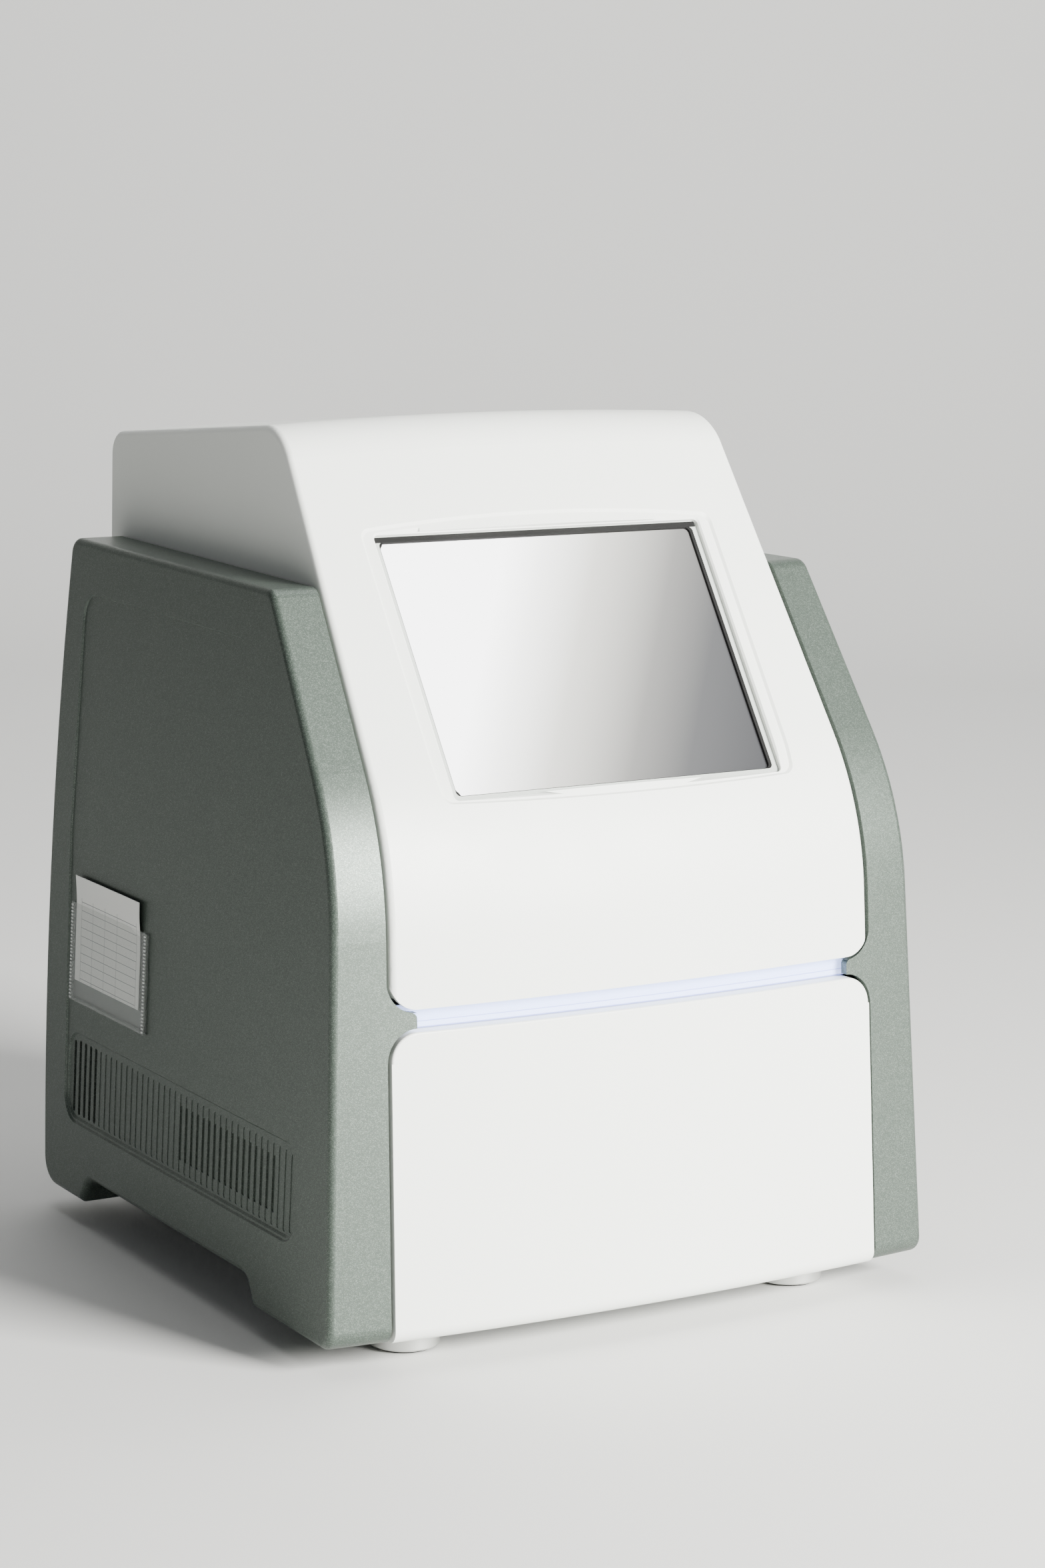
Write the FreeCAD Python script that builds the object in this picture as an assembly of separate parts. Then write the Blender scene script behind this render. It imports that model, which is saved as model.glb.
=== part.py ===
"""Bench-top real-time PCR instrument, built as separate named pieces.

Millimetres. X runs to the right, Y to the rear and Z up. The origin lies on the
bench, under the middle of the body.
"""
import FreeCAD, Part
import math
import os
from FreeCAD import Vector

# Body form, seen from the side and in plan
body_depth = 415.5
bow_radius = 1750.0
front_lean = 4.1
front_roll = 8.0
body_bottom = 14.9
knee_height = 282.5
knee_radius = 180.0
screen_slope = 56.2
top_height = 502.5
top_fall = 5.8
crest_radius = 36.0
crown_radius = 3000.0
housing_back_inset = 6.0
housing_back_radius = 15.0
wall_half_width = 164.6
wall_taper = 4.49
wall_lean = 0.35
housing_wall = 3.0
edge_radius = 3.5

# Gap between the upper housing and the drawer front
gap_bottom = 184.4
gap_height = 12.4
gap_corner_radius = 16.0
lip_depth = 14.0
drawer_front_depth = 35.75
seam_gap = 2.0
seat_gap = 0.1

# Side covers
cover_half_width = 202.7
cover_taper = 3.95
cover_lean = 1.965
cover_bottom = 15.2
cover_top = 414.0
cover_wall = 5.0
cover_setback = 1.0
cover_edge_radius = 4.0
cover_crest_radius = 10.0
cover_toe_radius = 10.5
cover_heel_radius = 18.0
cover_back_radius = 1600.0
cover_back_height = 158.0
nose_half_width = 144.0
nose_depth = 5.0
nose_tip_radius = 3.0
arch_front_inset = 107.4
arch_back_inset = 65.1
arch_height = 15.7
arch_front_ramp = 10.0
arch_back_ramp = 10.0
arch_radius = 12.0
boss_radius = 6.0

# Shallow panel and air grille pressed into each side cover
panel_depth = 1.1
panel_edge_run = 0.9
panel_front_margin = 43.0
panel_shift = 11.0
panel_top_margin = 31.0
panel_back_margin = 32.4
panel_corner_radius = 16.0
panel_turn_radius = 90.0
grille_bottom = 62.5
grille_height = 53.5
grille_depth = 2.2
grille_edge_run = 2.6
grille_front_inset = 57.1
grille_back_inset = 35.6
slot_front_inset = 59.6
slot_back_inset = 45.9
slot_width = 3.4
slot_count = 41
slot_height = 46.0
groove_depth = 0.35
rear_slot_count = 5
trough_first = 20
trough_count = 17
trough_height = 32.0
trough_depth = 0.6

# Touch display
screen_width = 218.4
screen_height = 162.6
screen_centre_height = 374.6
screen_corner_radius = 3.0
step_side = 10.0
step_end = 4.2
step_depth = 1.2
step_run = 1.4
step_radius = 6.0
rim_round = 1.2
collar_width = 3.0
bezel_width = 3.4
bezel_drop = 4.6
bezel_thickness = 2.0
gasket_width = 2.0
gasket_thickness = 1.8
glass_thickness = 1.8
display_thickness = 12.0
display_post_radius = 4.5

# Sheet-metal chassis
sheet = 2.0
base_top = 22.0
frame_x = 120.0
frame_setback = 6.0
frame_flange = 12.0
deck_thickness = 2.5
rear_panel_top = 298.0
rear_panel_inset = 12.75
front_foot_x = 131.0
front_foot_inset = 50.1
foot_radius = 20.0
foot_pad_radius = 16.0
foot_pad_height = 1.5
foot_neck_radius = 11.0
foot_gap = 1.5
rear_foot_x = 100.0
rear_foot_inset = 42.75
rear_foot_radius = 15.0

# Drawer, its runners and drive
drawer_travel = 190.0
running_gap = 0.4
tray_half_width = 105.0
tray_bottom = 62.0
tray_wall_height = 46.0
tray_behind_block = 120.0
rail_bottom = 68.0
rail_height = 30.0
rail_lip = 7.0
rail_back_inset = 45.0
screw_height = 44.0
screw_radius = 4.0
nut_size = 18.0
drive_motor_size = 35.0
drive_motor_length = 42.0
drive_motor_inset = 63.0

# Thermal block
block_setback = 147.75
block_length = 128.0
block_width = 86.0
block_top = 150.0
block_height = 20.0
well_pitch = 9.0
well_columns = 12
well_rows = 8
well_radius = 3.1
well_depth = 15.0
well_sides = 12
surround_top = 157.0
surround_wall = 3.0
nest_clearance = 1.0
peltier_size = 38.0
peltier_height = 4.0
sink_base = 8.0
fin_thickness = 2.0
fin_pitch = 7.5
fin_count = 16

# Heated lid and its lift
lid_gap = 0.8
lid_lift = 8.0
lid_length = 136.0
lid_width = 94.0
lid_thickness = 8.0
window_length = 112.0
window_width = 76.0
carrier_half_x = 100.0
carrier_half_y = 66.0
carrier_thickness = 4.0
rod_x = 92.0
rod_y = 40.0
rod_radius = 4.0
rod_length = 70.0
actuator_size = 28.0
actuator_height = 26.0

# Detection optics
optics_half_x = 72.0
optics_half_y = 58.0
optics_height = 92.0
optics_wall = 3.0
field_lens_thickness = 6.0
splitter_thickness = 3.0
beam_radius = 16.0
wheel_radius = 54.0
wheel_thickness = 4.0
wheel_motor_height = 15.0
filter_radius = 11.0
filter_orbit = 40.0
filter_count = 6
bridge_thickness = 3.0
lens_radius = 16.0
lens_length = 30.0
camera_size = 40.0
camera_height = 32.0

# Rear services
fan_size = 80.0
fan_depth = 25.0
fan_x = 48.0
fan_height = 140.0
fan_bore = 38.0
fan_blades = 7
slat_pitch = 8.0
hub_radius = 16.0
blade_thickness = 1.8
supply_length = 82.0
supply_x = 23.0
supply_width = 96.0
supply_height = 58.0
board_length = 190.0
board_width = 120.0
board_thickness = 1.6
standoff_height = 8.0
inlet_x = -70.0
inlet_height = 52.0
inlet_width = 27.5
inlet_opening = 20.0
inlet_depth = 18.0
switch_x = -32.0
switch_width = 13.0
switch_opening = 21.5
switch_tilt = 9.0

# Record card in its clear pouch on the left cover
pouch_inset = 95.4
pouch_height = 166.0
pouch_length = 111.0
pouch_rise = 60.0
pouch_sheet = 0.5
card_length = 101.0
card_rise = 64.0
card_lift = 13.0
card_thickness = 0.4

front_y = -body_depth / 2
back_y = body_depth / 2
drawer_front_back = front_y + drawer_front_depth
frame_front = drawer_front_back + frame_setback
rear_panel_y = back_y - rear_panel_inset
arch_front = front_y + arch_front_inset
arch_rear = back_y - arch_back_inset
grille_front = front_y + grille_front_inset
grille_back = back_y - grille_back_inset
slot_back = back_y - slot_back_inset
slot_pitch = (slot_back - front_y - slot_front_inset) / (slot_count - 1)
front_foot_y = front_y + front_foot_inset
rear_foot_y = back_y - rear_foot_inset
block_y = front_y + block_setback
tray_back = block_y + tray_behind_block
rail_back = rear_panel_y - rail_back_inset
drive_motor_y = rear_panel_y - drive_motor_inset
pouch_y = back_y - pouch_inset
gap_top = gap_bottom + gap_height
housing_back = back_y - housing_back_inset
deck_top = gap_top
deck_bottom = deck_top - deck_thickness
base_bottom = base_top - sheet
block_bottom = block_top - block_height
sink_top = block_bottom - peltier_height
lid_bottom = surround_top + lid_gap + lid_lift
carrier_bottom = lid_bottom + lid_thickness
optics_top = deck_top + optics_height
wheel_bottom = optics_top + wheel_motor_height + running_gap
bridge_bottom = wheel_bottom + wheel_thickness + 10 * running_gap
far = body_depth


def tan(degrees):
    return math.tan(math.radians(degrees))


def sin(degrees):
    return math.sin(math.radians(degrees))


def cos(degrees):
    return math.cos(math.radians(degrees))


def box(x0, x1, y0, y1, z0, z1):
    corner = Vector(min(x0, x1), min(y0, y1), min(z0, z1))
    return Part.makeBox(abs(x1 - x0), abs(y1 - y0), abs(z1 - z0), corner)


def rod(x, y, z, radius, length, axis=Vector(0, 0, 1)):
    return Part.makeCylinder(radius, length, Vector(x, y, z), axis)


def mirrored(shape):
    return shape.mirror(Vector(0, 0, 0), Vector(1, 0, 0))


def both_sides(shape):
    return [shape, mirrored(shape)]


def fused(shapes):
    first = shapes[0]
    if len(shapes) == 1:
        return first
    return first.multiFuse(shapes[1:]).removeSplitter()


def cut_all(shape, tools):
    return shape.cut(Part.makeCompound(tools)) if tools else shape


def meet(point_a, along_a, point_b, along_b):
    """Crossing point of two lines in the YZ plane."""
    across = along_a.y * along_b.z - along_a.z * along_b.y
    between = point_b - point_a
    step = (between.y * along_b.z - between.z * along_b.y) / across
    return point_a + along_a * step


def rounded_wire(corners, radii):
    """Closed outline through the corners, each turned by a tangent arc of its radius."""
    count = len(corners)
    edges = []
    starts, ends, middles = [], [], []
    for i in range(count):
        corner = corners[i]
        back = (corners[i - 1] - corner).normalize()
        ahead = (corners[(i + 1) % count] - corner).normalize()
        if radii[i] <= 0:
            starts.append(corner)
            ends.append(corner)
            middles.append(None)
            continue
        half = back.getAngle(ahead) / 2
        reach = radii[i] / math.tan(half)
        inward = (back + ahead).normalize()
        centre = corner + inward * (radii[i] / math.sin(half))
        starts.append(corner + back * reach)
        ends.append(corner + ahead * reach)
        middles.append(centre - inward * radii[i])
    for i in range(count):
        if middles[i] is not None:
            edges.append(Part.Arc(starts[i], middles[i], ends[i]).toShape())
        following = starts[(i + 1) % count]
        if ends[i].distanceToPoint(following) > 1e-6:
            edges.append(Part.LineSegment(ends[i], following).toShape())
    return Part.Wire(Part.__sortEdges__(edges))


def slab_x(corners, radii, x0, x1):
    """Outline given as (y, z) pairs, extruded along X."""
    points = [Vector(x0, y, z) for y, z in corners]
    return Part.Face(rounded_wire(points, radii)).extrude(Vector(x1 - x0, 0, 0))


def slab_y(corners, radii, y0, y1):
    """Outline given as (x, z) pairs, extruded along Y."""
    points = [Vector(x, y0, z) for x, z in corners]
    return Part.Face(rounded_wire(points, radii)).extrude(Vector(0, y1 - y0, 0))


def slab_z(corners, radii, z0, z1):
    """Outline given as (x, y) pairs, extruded along Z."""
    points = [Vector(x, y, z0) for x, y in corners]
    return Part.Face(rounded_wire(points, radii)).extrude(Vector(0, 0, z1 - z0))


def rectangle(half_x, half_y, cx=0.0, cy=0.0):
    return [(cx - half_x, cy - half_y), (cx + half_x, cy - half_y),
            (cx + half_x, cy + half_y), (cx - half_x, cy + half_y)]


def screen_line():
    """A point on the sloping front line at X 0, and the line's direction and normal."""
    along = Vector(0, cos(screen_slope), sin(screen_slope))
    normal = Vector(0, -sin(screen_slope), cos(screen_slope))
    return knee_corner(0.0), along, normal


def lower_front_line(inset):
    """Foot of the leaning front line, inset from the surface, and its direction."""
    centre = Vector(0, front_y + front_roll, body_bottom + front_roll)
    normal = Vector(0, -cos(front_lean), sin(front_lean))
    along = Vector(0, sin(front_lean), cos(front_lean))
    return centre + normal * (front_roll - inset), along


def knee_corner(inset):
    """Where the leaning lower front and the sloping upper front would meet."""
    foot, lean = lower_front_line(0.0)
    outer = foot + lean * ((knee_height - foot.z) / lean.z)
    if inset == 0:
        return outer
    along = Vector(0, cos(screen_slope), sin(screen_slope))
    inward = Vector(0, sin(screen_slope), -cos(screen_slope))
    foot, lean = lower_front_line(inset)
    return meet(foot, lean, outer + inward * inset, along)


def bowed_front(inset, bottom, roll):
    """Everything behind the front surface: its section turned about a far upright axis."""
    knee = knee_corner(inset)
    foot, lean = lower_front_line(inset)
    toe = foot + lean * ((bottom - foot.z) / lean.z)
    slope = Vector(0, cos(screen_slope), sin(screen_slope))
    rise = top_height + crest_radius * 2 - knee.z
    brow = knee + slope * (rise / slope.z)
    corners = [toe, knee, brow, Vector(0, far, brow.z), Vector(0, far, bottom)]
    radii = [max(roll - inset, 0.0), knee_radius - inset, 0.0, 0.0, 0.0]
    section = Part.Face(rounded_wire(corners, radii))
    pivot = Vector(0, front_y + bow_radius, 0)
    sweep = math.degrees(math.asin(cover_half_width * 1.1 / (bow_radius - 2 * far)))
    section.rotate(pivot, Vector(0, 0, 1), -sweep)
    return section.revolve(pivot, Vector(0, 0, 1), 2 * sweep)


def crowned_top(inset):
    """Everything under the top surface, which falls to the rear and is crowned across."""
    knee, along, _ = screen_line()
    crest = knee + along * ((top_height - knee.z) / along.z)
    fall = Vector(0, cos(top_fall), -sin(top_fall))
    normal = Vector(0, sin(top_fall), cos(top_fall))
    start = crest - normal * crown_radius - fall * far
    drum = Part.makeCylinder(crown_radius - inset, 3 * far, start, fall)
    drum.rotate(start, fall, 180)
    return drum


def half_width(y, z, width, taper, lean):
    return width - tan(taper) * (y - front_y) - tan(lean) * z


def frustum(lower, upper):
    """Solid with flat faces between two loops of the same number of corners."""
    faces = [Part.Face(Part.makePolygon(loop + loop[:1])) for loop in (lower, upper)]
    for i in range(len(lower)):
        j = (i + 1) % len(lower)
        side = [lower[i], lower[j], upper[j], upper[i], lower[i]]
        faces.append(Part.Face(Part.makePolygon(side)))
    solid = Part.Solid(Part.Shell(faces))
    if solid.Volume < 0:
        solid.reverse()
    return solid


def wedge(width, taper, lean, inset, y0=-far, y1=far, z0=-10.0, z1=None):
    """Body between two upright side planes that close in to the rear and upwards."""
    top = top_height + 2 * crest_radius if z1 is None else z1
    slack = inset * math.sqrt(1 + tan(taper) ** 2 + tan(lean) ** 2)
    loops = []
    for z in (z0, top):
        front = half_width(y0, z, width, taper, lean) - slack
        back = half_width(y1, z, width, taper, lean) - slack
        loops.append([Vector(-front, y0, z), Vector(front, y0, z),
                      Vector(back, y1, z), Vector(-back, y1, z)])
    return frustum(*loops)


def wall_wedge(inset, **span):
    return wedge(wall_half_width, wall_taper, wall_lean, inset, **span)


def cover_wedge(inset, **span):
    return wedge(cover_half_width, cover_taper, cover_lean, inset, **span)


def wall_x(y, z, inset=0.0):
    return half_width(y, z, wall_half_width, wall_taper, wall_lean) - inset


def cover_x(y, z, inset=0.0):
    return half_width(y, z, cover_half_width, cover_taper, cover_lean) - inset


def front_at(z, x=0.0):
    """Y of the bowed front surface below the knee."""
    foot, lean = lower_front_line(0.0)
    at_middle = foot.y + lean.y * (z - foot.z) / lean.z
    radius = front_y + bow_radius - at_middle
    return front_y + bow_radius - math.sqrt(radius ** 2 - x ** 2)


def edges_where(shape, test):
    return [edge for edge in shape.Edges if test(edge)]


def screen_place(shape):
    """Moves a shape drawn about the origin, facing +Z, onto the sloping screen plane."""
    knee, along, normal = screen_line()
    centre = knee + along * ((screen_centre_height - knee.z) / along.z)
    sag = (screen_width / 2) ** 2 / (2 * bow_radius)
    centre = centre - normal * sag * sin(screen_slope)
    turn = FreeCAD.Rotation(Vector(1, 0, 0), along, normal, "ZXY")
    moved = shape.copy()
    moved.Placement = FreeCAD.Placement(centre, turn)
    return moved


def housing_form(inset):
    """Closed outer form of the upper housing, inset by a wall."""
    form = bowed_front(inset, gap_top if inset == 0 else gap_top - 20.0, 0.0)
    form = form.common(crowned_top(inset))
    form = form.common(wall_wedge(seam_gap + inset, y1=housing_back - inset))
    crest = edges_where(form, lambda e: is_crest_edge(e))
    form = form.makeFillet(crest_radius - inset, crest)
    heel = edges_where(form, lambda e: is_rear_top_edge(e, inset))
    return form.makeFillet(housing_back_radius - inset, heel)


def is_crest_edge(edge):
    """The long edge across the body where slope and top meet."""
    box_ = edge.BoundBox
    high = box_.ZMin > screen_centre_height
    return box_.XLength > wall_half_width and high and box_.YMax < housing_back - crest_radius


def is_rear_top_edge(edge, inset):
    box_ = edge.BoundBox
    level = abs(box_.YMin - (housing_back - inset)) < 0.1 and box_.YLength < 0.1
    return level and box_.XLength > wall_half_width / 2 and box_.ZMin > screen_centre_height


def upper_housing():
    """Bowed front, sloping screen face, crowned top and side walls as one moulded shell."""
    shell = soften_sides(housing_form(0.0)).cut(housing_form(housing_wall))
    lip = bowed_front(housing_wall / 2, gap_top, 0.0).cut(bowed_front(lip_depth, gap_top, 0.0))
    span = nose_half_width
    lip = lip.common(box(-span, span, -far, 0, gap_top, gap_top + housing_wall))
    under = bowed_front(step_depth + rim_round / 2, gap_top, 0.0)
    collar = screen_ring(collar_width, 0.0, -screen_glass_top(), step_depth)
    posts = [screen_place(post) for post in display_posts()]
    shell = fused([shell, lip] + [piece.common(under) for piece in [collar] + posts])
    shell = shell.cut(gap_corner_tool(gap_top, 1.0))
    back_cut = box(-far, far, rear_panel_y, far, 0, rear_panel_top)
    shell = shell.cut(back_cut).cut(screen_step())
    return shell.cut(screen_opening()).removeSplitter()


def soften_sides(form):
    """Rounds the edges between the side walls and the front, crest and top."""
    slack = seam_gap * math.sqrt(1 + tan(wall_taper) ** 2 + tan(wall_lean) ** 2)

    def beside(edge):
        points = edge.discretize(7)
        flush = all(abs(abs(p.x) - (wall_x(p.y, p.z) - slack)) < 0.05 for p in points)
        low = max(p.z for p in points) < gap_top + 0.1
        upright_back = all(p.y > housing_back - 0.1 for p in points)
        return flush and not low and not upright_back

    return form.makeFillet(edge_radius, edges_where(form, beside))


def gap_corner_tool(level, direction, extra=0.0):
    """What rounds a front panel's corners beside the gap, seen from the front."""
    centre_x, centre_z = gap_corner_centre(level, direction)
    reach = centre_x + gap_corner_radius + 25.0
    square = box(centre_x, reach, -far, drawer_front_back + 10.0, level - direction * 5.0, centre_z)
    disc = rod(centre_x, -far, centre_z, gap_corner_radius + extra, far * 2, Vector(0, 1, 0))
    return Part.makeCompound(both_sides(square.cut(disc)))


def gap_corner_centre(level, direction):
    reach = wall_x(front_at(level, wall_half_width), level) - seam_gap
    return reach - gap_corner_radius, level + direction * gap_corner_radius


def screen_glass_top():
    return bezel_drop + bezel_thickness


def screen_ring(outward, inward, low, high):
    """Ring about the display opening, between two depths."""
    half_x, half_y = screen_width / 2, screen_height / 2
    outer = slab_z(rectangle(half_x + outward, half_y + outward), [screen_corner_radius] * 4, low, high)
    hole = slab_z(rectangle(half_x - inward, half_y - inward), [screen_corner_radius] * 4,
                  low - 1.0, high + 1.0)
    return screen_place(outer.cut(hole))


def display_back():
    return screen_glass_top() + glass_thickness + display_thickness


def display_posts():
    """Four posts behind the wall, outside the display, that carry its frame."""
    x = screen_width / 2 + collar_width + 2 * display_post_radius
    y = screen_height / 3
    places = [(i * x, j * y) for i in (-1, 1) for j in (-1, 1)]
    return [rod(x, y, -display_back(), display_post_radius, display_back()) for x, y in places]


def screen_outline(grow_x, grow_y, radius, z):
    corners = rectangle(screen_width / 2 + grow_x, screen_height / 2 + grow_y)
    return rounded_wire([Vector(x, y, z) for x, y in corners], [radius] * 4)


def screen_step():
    """Skin removed round the display opening, so that a shallow frame follows the bow."""
    deep = step_depth + crest_radius / 4
    low = screen_outline(step_side - step_run * deep, step_end - step_run * deep, step_radius, -deep)
    high = screen_outline(step_side + step_run * deep, step_end + step_run * deep, step_radius, deep)
    tool = screen_place(Part.makeLoft([low, high], True, True))
    return tool.cut(bowed_front(step_depth, gap_bottom, 0.0))


def screen_opening():
    """Straight-walled opening for the display with a bevelled rim."""
    deep = step_depth + rim_round
    low = screen_outline(0.0, 0.0, screen_corner_radius, -deep)
    high = screen_outline(deep, deep, screen_corner_radius, 0.0)
    rim = Part.makeLoft([low, high], True, True)
    opening = slab_z(rectangle(screen_width / 2, screen_height / 2), [screen_corner_radius] * 4,
                     -far / 20, far / 8)
    return screen_place(opening.fuse(rim))


def display_bezel():
    return screen_ring(0.0, bezel_width, -screen_glass_top(), -bezel_drop)


def display_gasket():
    top = gasket_thickness - screen_glass_top()
    ring = screen_ring(-bezel_width, bezel_width + gasket_width, -screen_glass_top(), top)
    return ring


def display_glass():
    half_x = screen_width / 2 + collar_width
    half_y = screen_height / 2 + collar_width
    top = -screen_glass_top()
    return screen_place(slab_z(rectangle(half_x, half_y), [screen_corner_radius] * 4, top - glass_thickness, top))


def display_module():
    half_x, half_y = screen_width / 2, screen_height / 2
    top = -screen_glass_top() - glass_thickness
    back = slab_z(rectangle(half_x, half_y), [screen_corner_radius] * 4, -display_back(), top)
    return screen_place(back)


def display_frame():
    """Sheet that holds the display against the opening, screwed to the four posts."""
    half_x = screen_width / 2 + collar_width + 3 * display_post_radius
    low = -display_back() - sheet
    plate = slab_z(rectangle(half_x, screen_height / 3 + 3 * display_post_radius), [6.0] * 4, low, low + sheet)
    window = slab_z(rectangle(half_x / 2, screen_height / 5), [8.0] * 4, low - 1, low + sheet + 1)
    return screen_place(plate.cut(window))


def light_bar():
    """Translucent bar in the gap, bowed like the front."""
    bar = bowed_front(nose_depth + 4.0, gap_bottom, 0.0).cut(bowed_front(lip_depth, gap_bottom, 0.0))
    span = nose_half_width + 8.0
    return bar.common(box(-span, span, -far, 0, gap_bottom + running_gap, gap_top))


def light_carrier():
    """Dark channel behind the bar, fixed to the front edge of the deck."""
    bar = bowed_front(lip_depth + seat_gap, gap_bottom, 0.0)
    span = nose_half_width + 8.0
    block = box(-span, span, -far, frame_front, gap_bottom + running_gap, gap_top)
    return bar.common(block)


def cover_form(inset):
    """Outer form of the right-hand cover, inset by its wall."""
    form = bowed_front(inset + cover_setback, cover_bottom + inset, cover_toe_radius)
    form = form.common(cover_back_slab(inset))
    outline = box(100.0, cover_half_width + 10.0, -far, far, 0, cover_top - inset)
    form = form.common(outline).common(cover_wedge(inset))
    form = form.cut(arch_tool(inset))
    crest = edges_where(form, lambda e: is_cover_crest(e, inset))
    form = form.makeFillet(cover_crest_radius - inset / 2, crest)
    return form


def is_cover_crest(edge, inset):
    b = edge.BoundBox
    return b.ZMin > cover_top - inset - 0.1 and b.XLength > b.YLength


def cover_back_slab(inset):
    """Gently bulging rear edge, with the rounded heel, as a slab across the body."""
    peak = Vector(0, back_y - inset, cover_back_height)
    centre = peak - Vector(0, cover_back_radius - inset, 0)
    drum = Part.makeCylinder(cover_back_radius - inset, 2 * far, centre - Vector(far, 0, 0), Vector(1, 0, 0))
    slab = drum.common(box(-far, far, -far, far, cover_bottom + inset, top_height))
    heel = edges_where(slab, lambda e: is_heel_edge(e, inset))
    return slab.makeFillet(cover_heel_radius - inset, heel)


def is_heel_edge(edge, inset):
    b = edge.BoundBox
    return b.XLength > far and b.YMin > far / 3 and b.ZMax < cover_bottom + inset + 0.1


def arch_tool(inset):
    """Low arch under the cover between its two runners."""
    low = cover_bottom - 5.0
    front, rear = arch_front - inset, arch_rear + inset
    top = cover_bottom + arch_height + inset
    corners = [(front, low), (front, cover_bottom + inset / 2), (front + arch_front_ramp, top),
               (rear - arch_back_ramp, top), (rear, cover_bottom + inset / 2), (rear, low)]
    radii = [0.0, 0.0, arch_radius, arch_radius, 0.0, 0.0]
    return slab_x(corners, radii, 100.0, cover_half_width + 20.0)


def soften_cover(form):
    """Rounds every edge between the outer side plane and its neighbours."""

    def outside(edge):
        points = edge.discretize(5)
        return all(abs(p.x - cover_x(p.y, p.z)) < 0.05 for p in points)

    return form.makeFillet(cover_edge_radius, edges_where(form, outside))


def on_cover(shape, depth):
    """Lays a shape drawn in the YZ plane on the right cover's outer plane, sunk by a depth."""
    turned = shape.copy()
    pivot = Vector(0, 0, grille_bottom)
    turned.rotate(pivot, Vector(0, 0, 1), cover_taper)
    turned.rotate(pivot, Vector(0, 1, 0), -cover_lean)
    turned.translate(Vector(cover_x(0, grille_bottom, depth), 0, 0))
    return turned


def pressed(corners, radii, run, depth, floor):
    """Shallow pressing with sloping edges: its floor's outline, edge run and two depths."""
    bottom = rounded_wire([Vector(0, y, z) for y, z in corners], radii)
    slope = run / (floor - depth)
    reach = floor - depth + panel_depth
    top = bottom.makeOffset2D(slope * reach)
    top.translate(Vector(reach, 0, 0))
    return on_cover(Part.makeLoft([bottom, top], True, True), floor)


def side_panel_tool():
    """Shallow panel that follows the cover's front and back edges."""
    knee, slope, normal = screen_line()
    foot, lean = lower_front_line(panel_front_margin)
    shifted = foot + Vector(0, panel_shift, 0)
    low = shifted + lean * ((grille_bottom - shifted.z) / lean.z)
    beside = knee - normal * panel_front_margin + Vector(0, panel_shift, 0)
    turn = meet(shifted, lean, beside, slope)
    top = cover_top - panel_top_margin
    brow = turn + slope * ((top - turn.z) / slope.z)
    back = back_y - panel_back_margin
    waist = cover_back_height + panel_corner_radius * 5
    corners = [(low.y, low.z), (turn.y, turn.z), (brow.y, top),
               (back - panel_shift, top), (back, waist), (back - panel_shift / 3, grille_bottom)]
    round_ = panel_corner_radius
    radii = [round_, panel_turn_radius, round_, round_, panel_turn_radius * 3, round_]
    return pressed(corners, radii, panel_edge_run, 0.0, panel_depth)


def grille_tool():
    top = grille_bottom + grille_height
    inset = grille_edge_run
    corners = [(grille_front + inset, grille_bottom + inset), (grille_back - inset, grille_bottom + inset),
               (grille_back - inset, top), (grille_front + inset, top)]
    radii = [panel_corner_radius - inset] * 4
    return pressed(corners, radii, grille_edge_run, 0.0, grille_depth)


def slot_y(index):
    return slot_back - index * slot_pitch


def slot_reach(index):
    """Half height of a slot, shorter where the grille's rounded ends cut into it."""
    margin = (grille_height - slot_height) / 2
    nearest = min(abs(grille_back - slot_y(index)), abs(slot_y(index) - grille_front))
    into = panel_corner_radius - min(nearest, panel_corner_radius)
    cut_in = panel_corner_radius - math.sqrt(panel_corner_radius ** 2 - into ** 2)
    return grille_height / 2 - margin - cut_in


def slot_tool(index, half, depth):
    """Round-ended slot cut to a depth under the outer plane."""
    y, z = slot_y(index), grille_bottom + grille_height / 2
    wide = slot_width / 2
    corners = [(y - wide, z - half), (y + wide, z - half), (y + wide, z + half), (y - wide, z + half)]
    return on_cover(slab_x(corners, [slot_width * 0.45] * 4, 0.0, depth + 1.0), depth)


def cover_relief(form):
    """Panel, grille, blind grooves, deeper troughs and open rear slots, each to its depth."""
    form = form.cut(side_panel_tool())
    form = form.cut(grille_tool())
    groove = grille_depth + groove_depth
    deep = groove + trough_depth
    tools = [slot_tool(i, slot_reach(i), groove) for i in range(rear_slot_count, slot_count)]
    form = cut_all(form, tools)
    troughs = range(trough_first, trough_first + trough_count)
    form = cut_all(form, [slot_tool(i, trough_height / 2, deep) for i in troughs])
    return cut_all(form, [slot_tool(i, slot_reach(i), 2 * cover_wall) for i in range(rear_slot_count)])


def cover_nose():
    """Inward tongue of the cover's front, filling the gap between the two rounded panels."""
    skin = bowed_front(cover_setback, 0.0, 0.0).cut(bowed_front(nose_depth + cover_setback, 0.0, 0.0))
    low, high = gap_bottom + seam_gap, gap_top - seam_gap
    reach = wall_x(front_at(gap_top, wall_half_width), gap_top) + seam_gap + 3.0
    corners = [(nose_half_width, low), (reach, low), (reach, high), (nose_half_width, high)]
    tongue = slab_y(corners, [0.0, 0.0, 0.0, nose_tip_radius], -far, 0)
    flares = []
    for level, direction in ((gap_bottom, -1.0), (gap_top, 1.0)):
        centre_x, centre_z = gap_corner_centre(level, direction)
        start = level - direction * seam_gap
        square = box(centre_x, reach, -far, 0, start, centre_z)
        disc = rod(centre_x, -far, centre_z, gap_corner_radius + seam_gap, far * 2, Vector(0, 1, 0))
        flares.append(square.cut(disc))
    return fused([tongue] + flares).common(skin)


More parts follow.
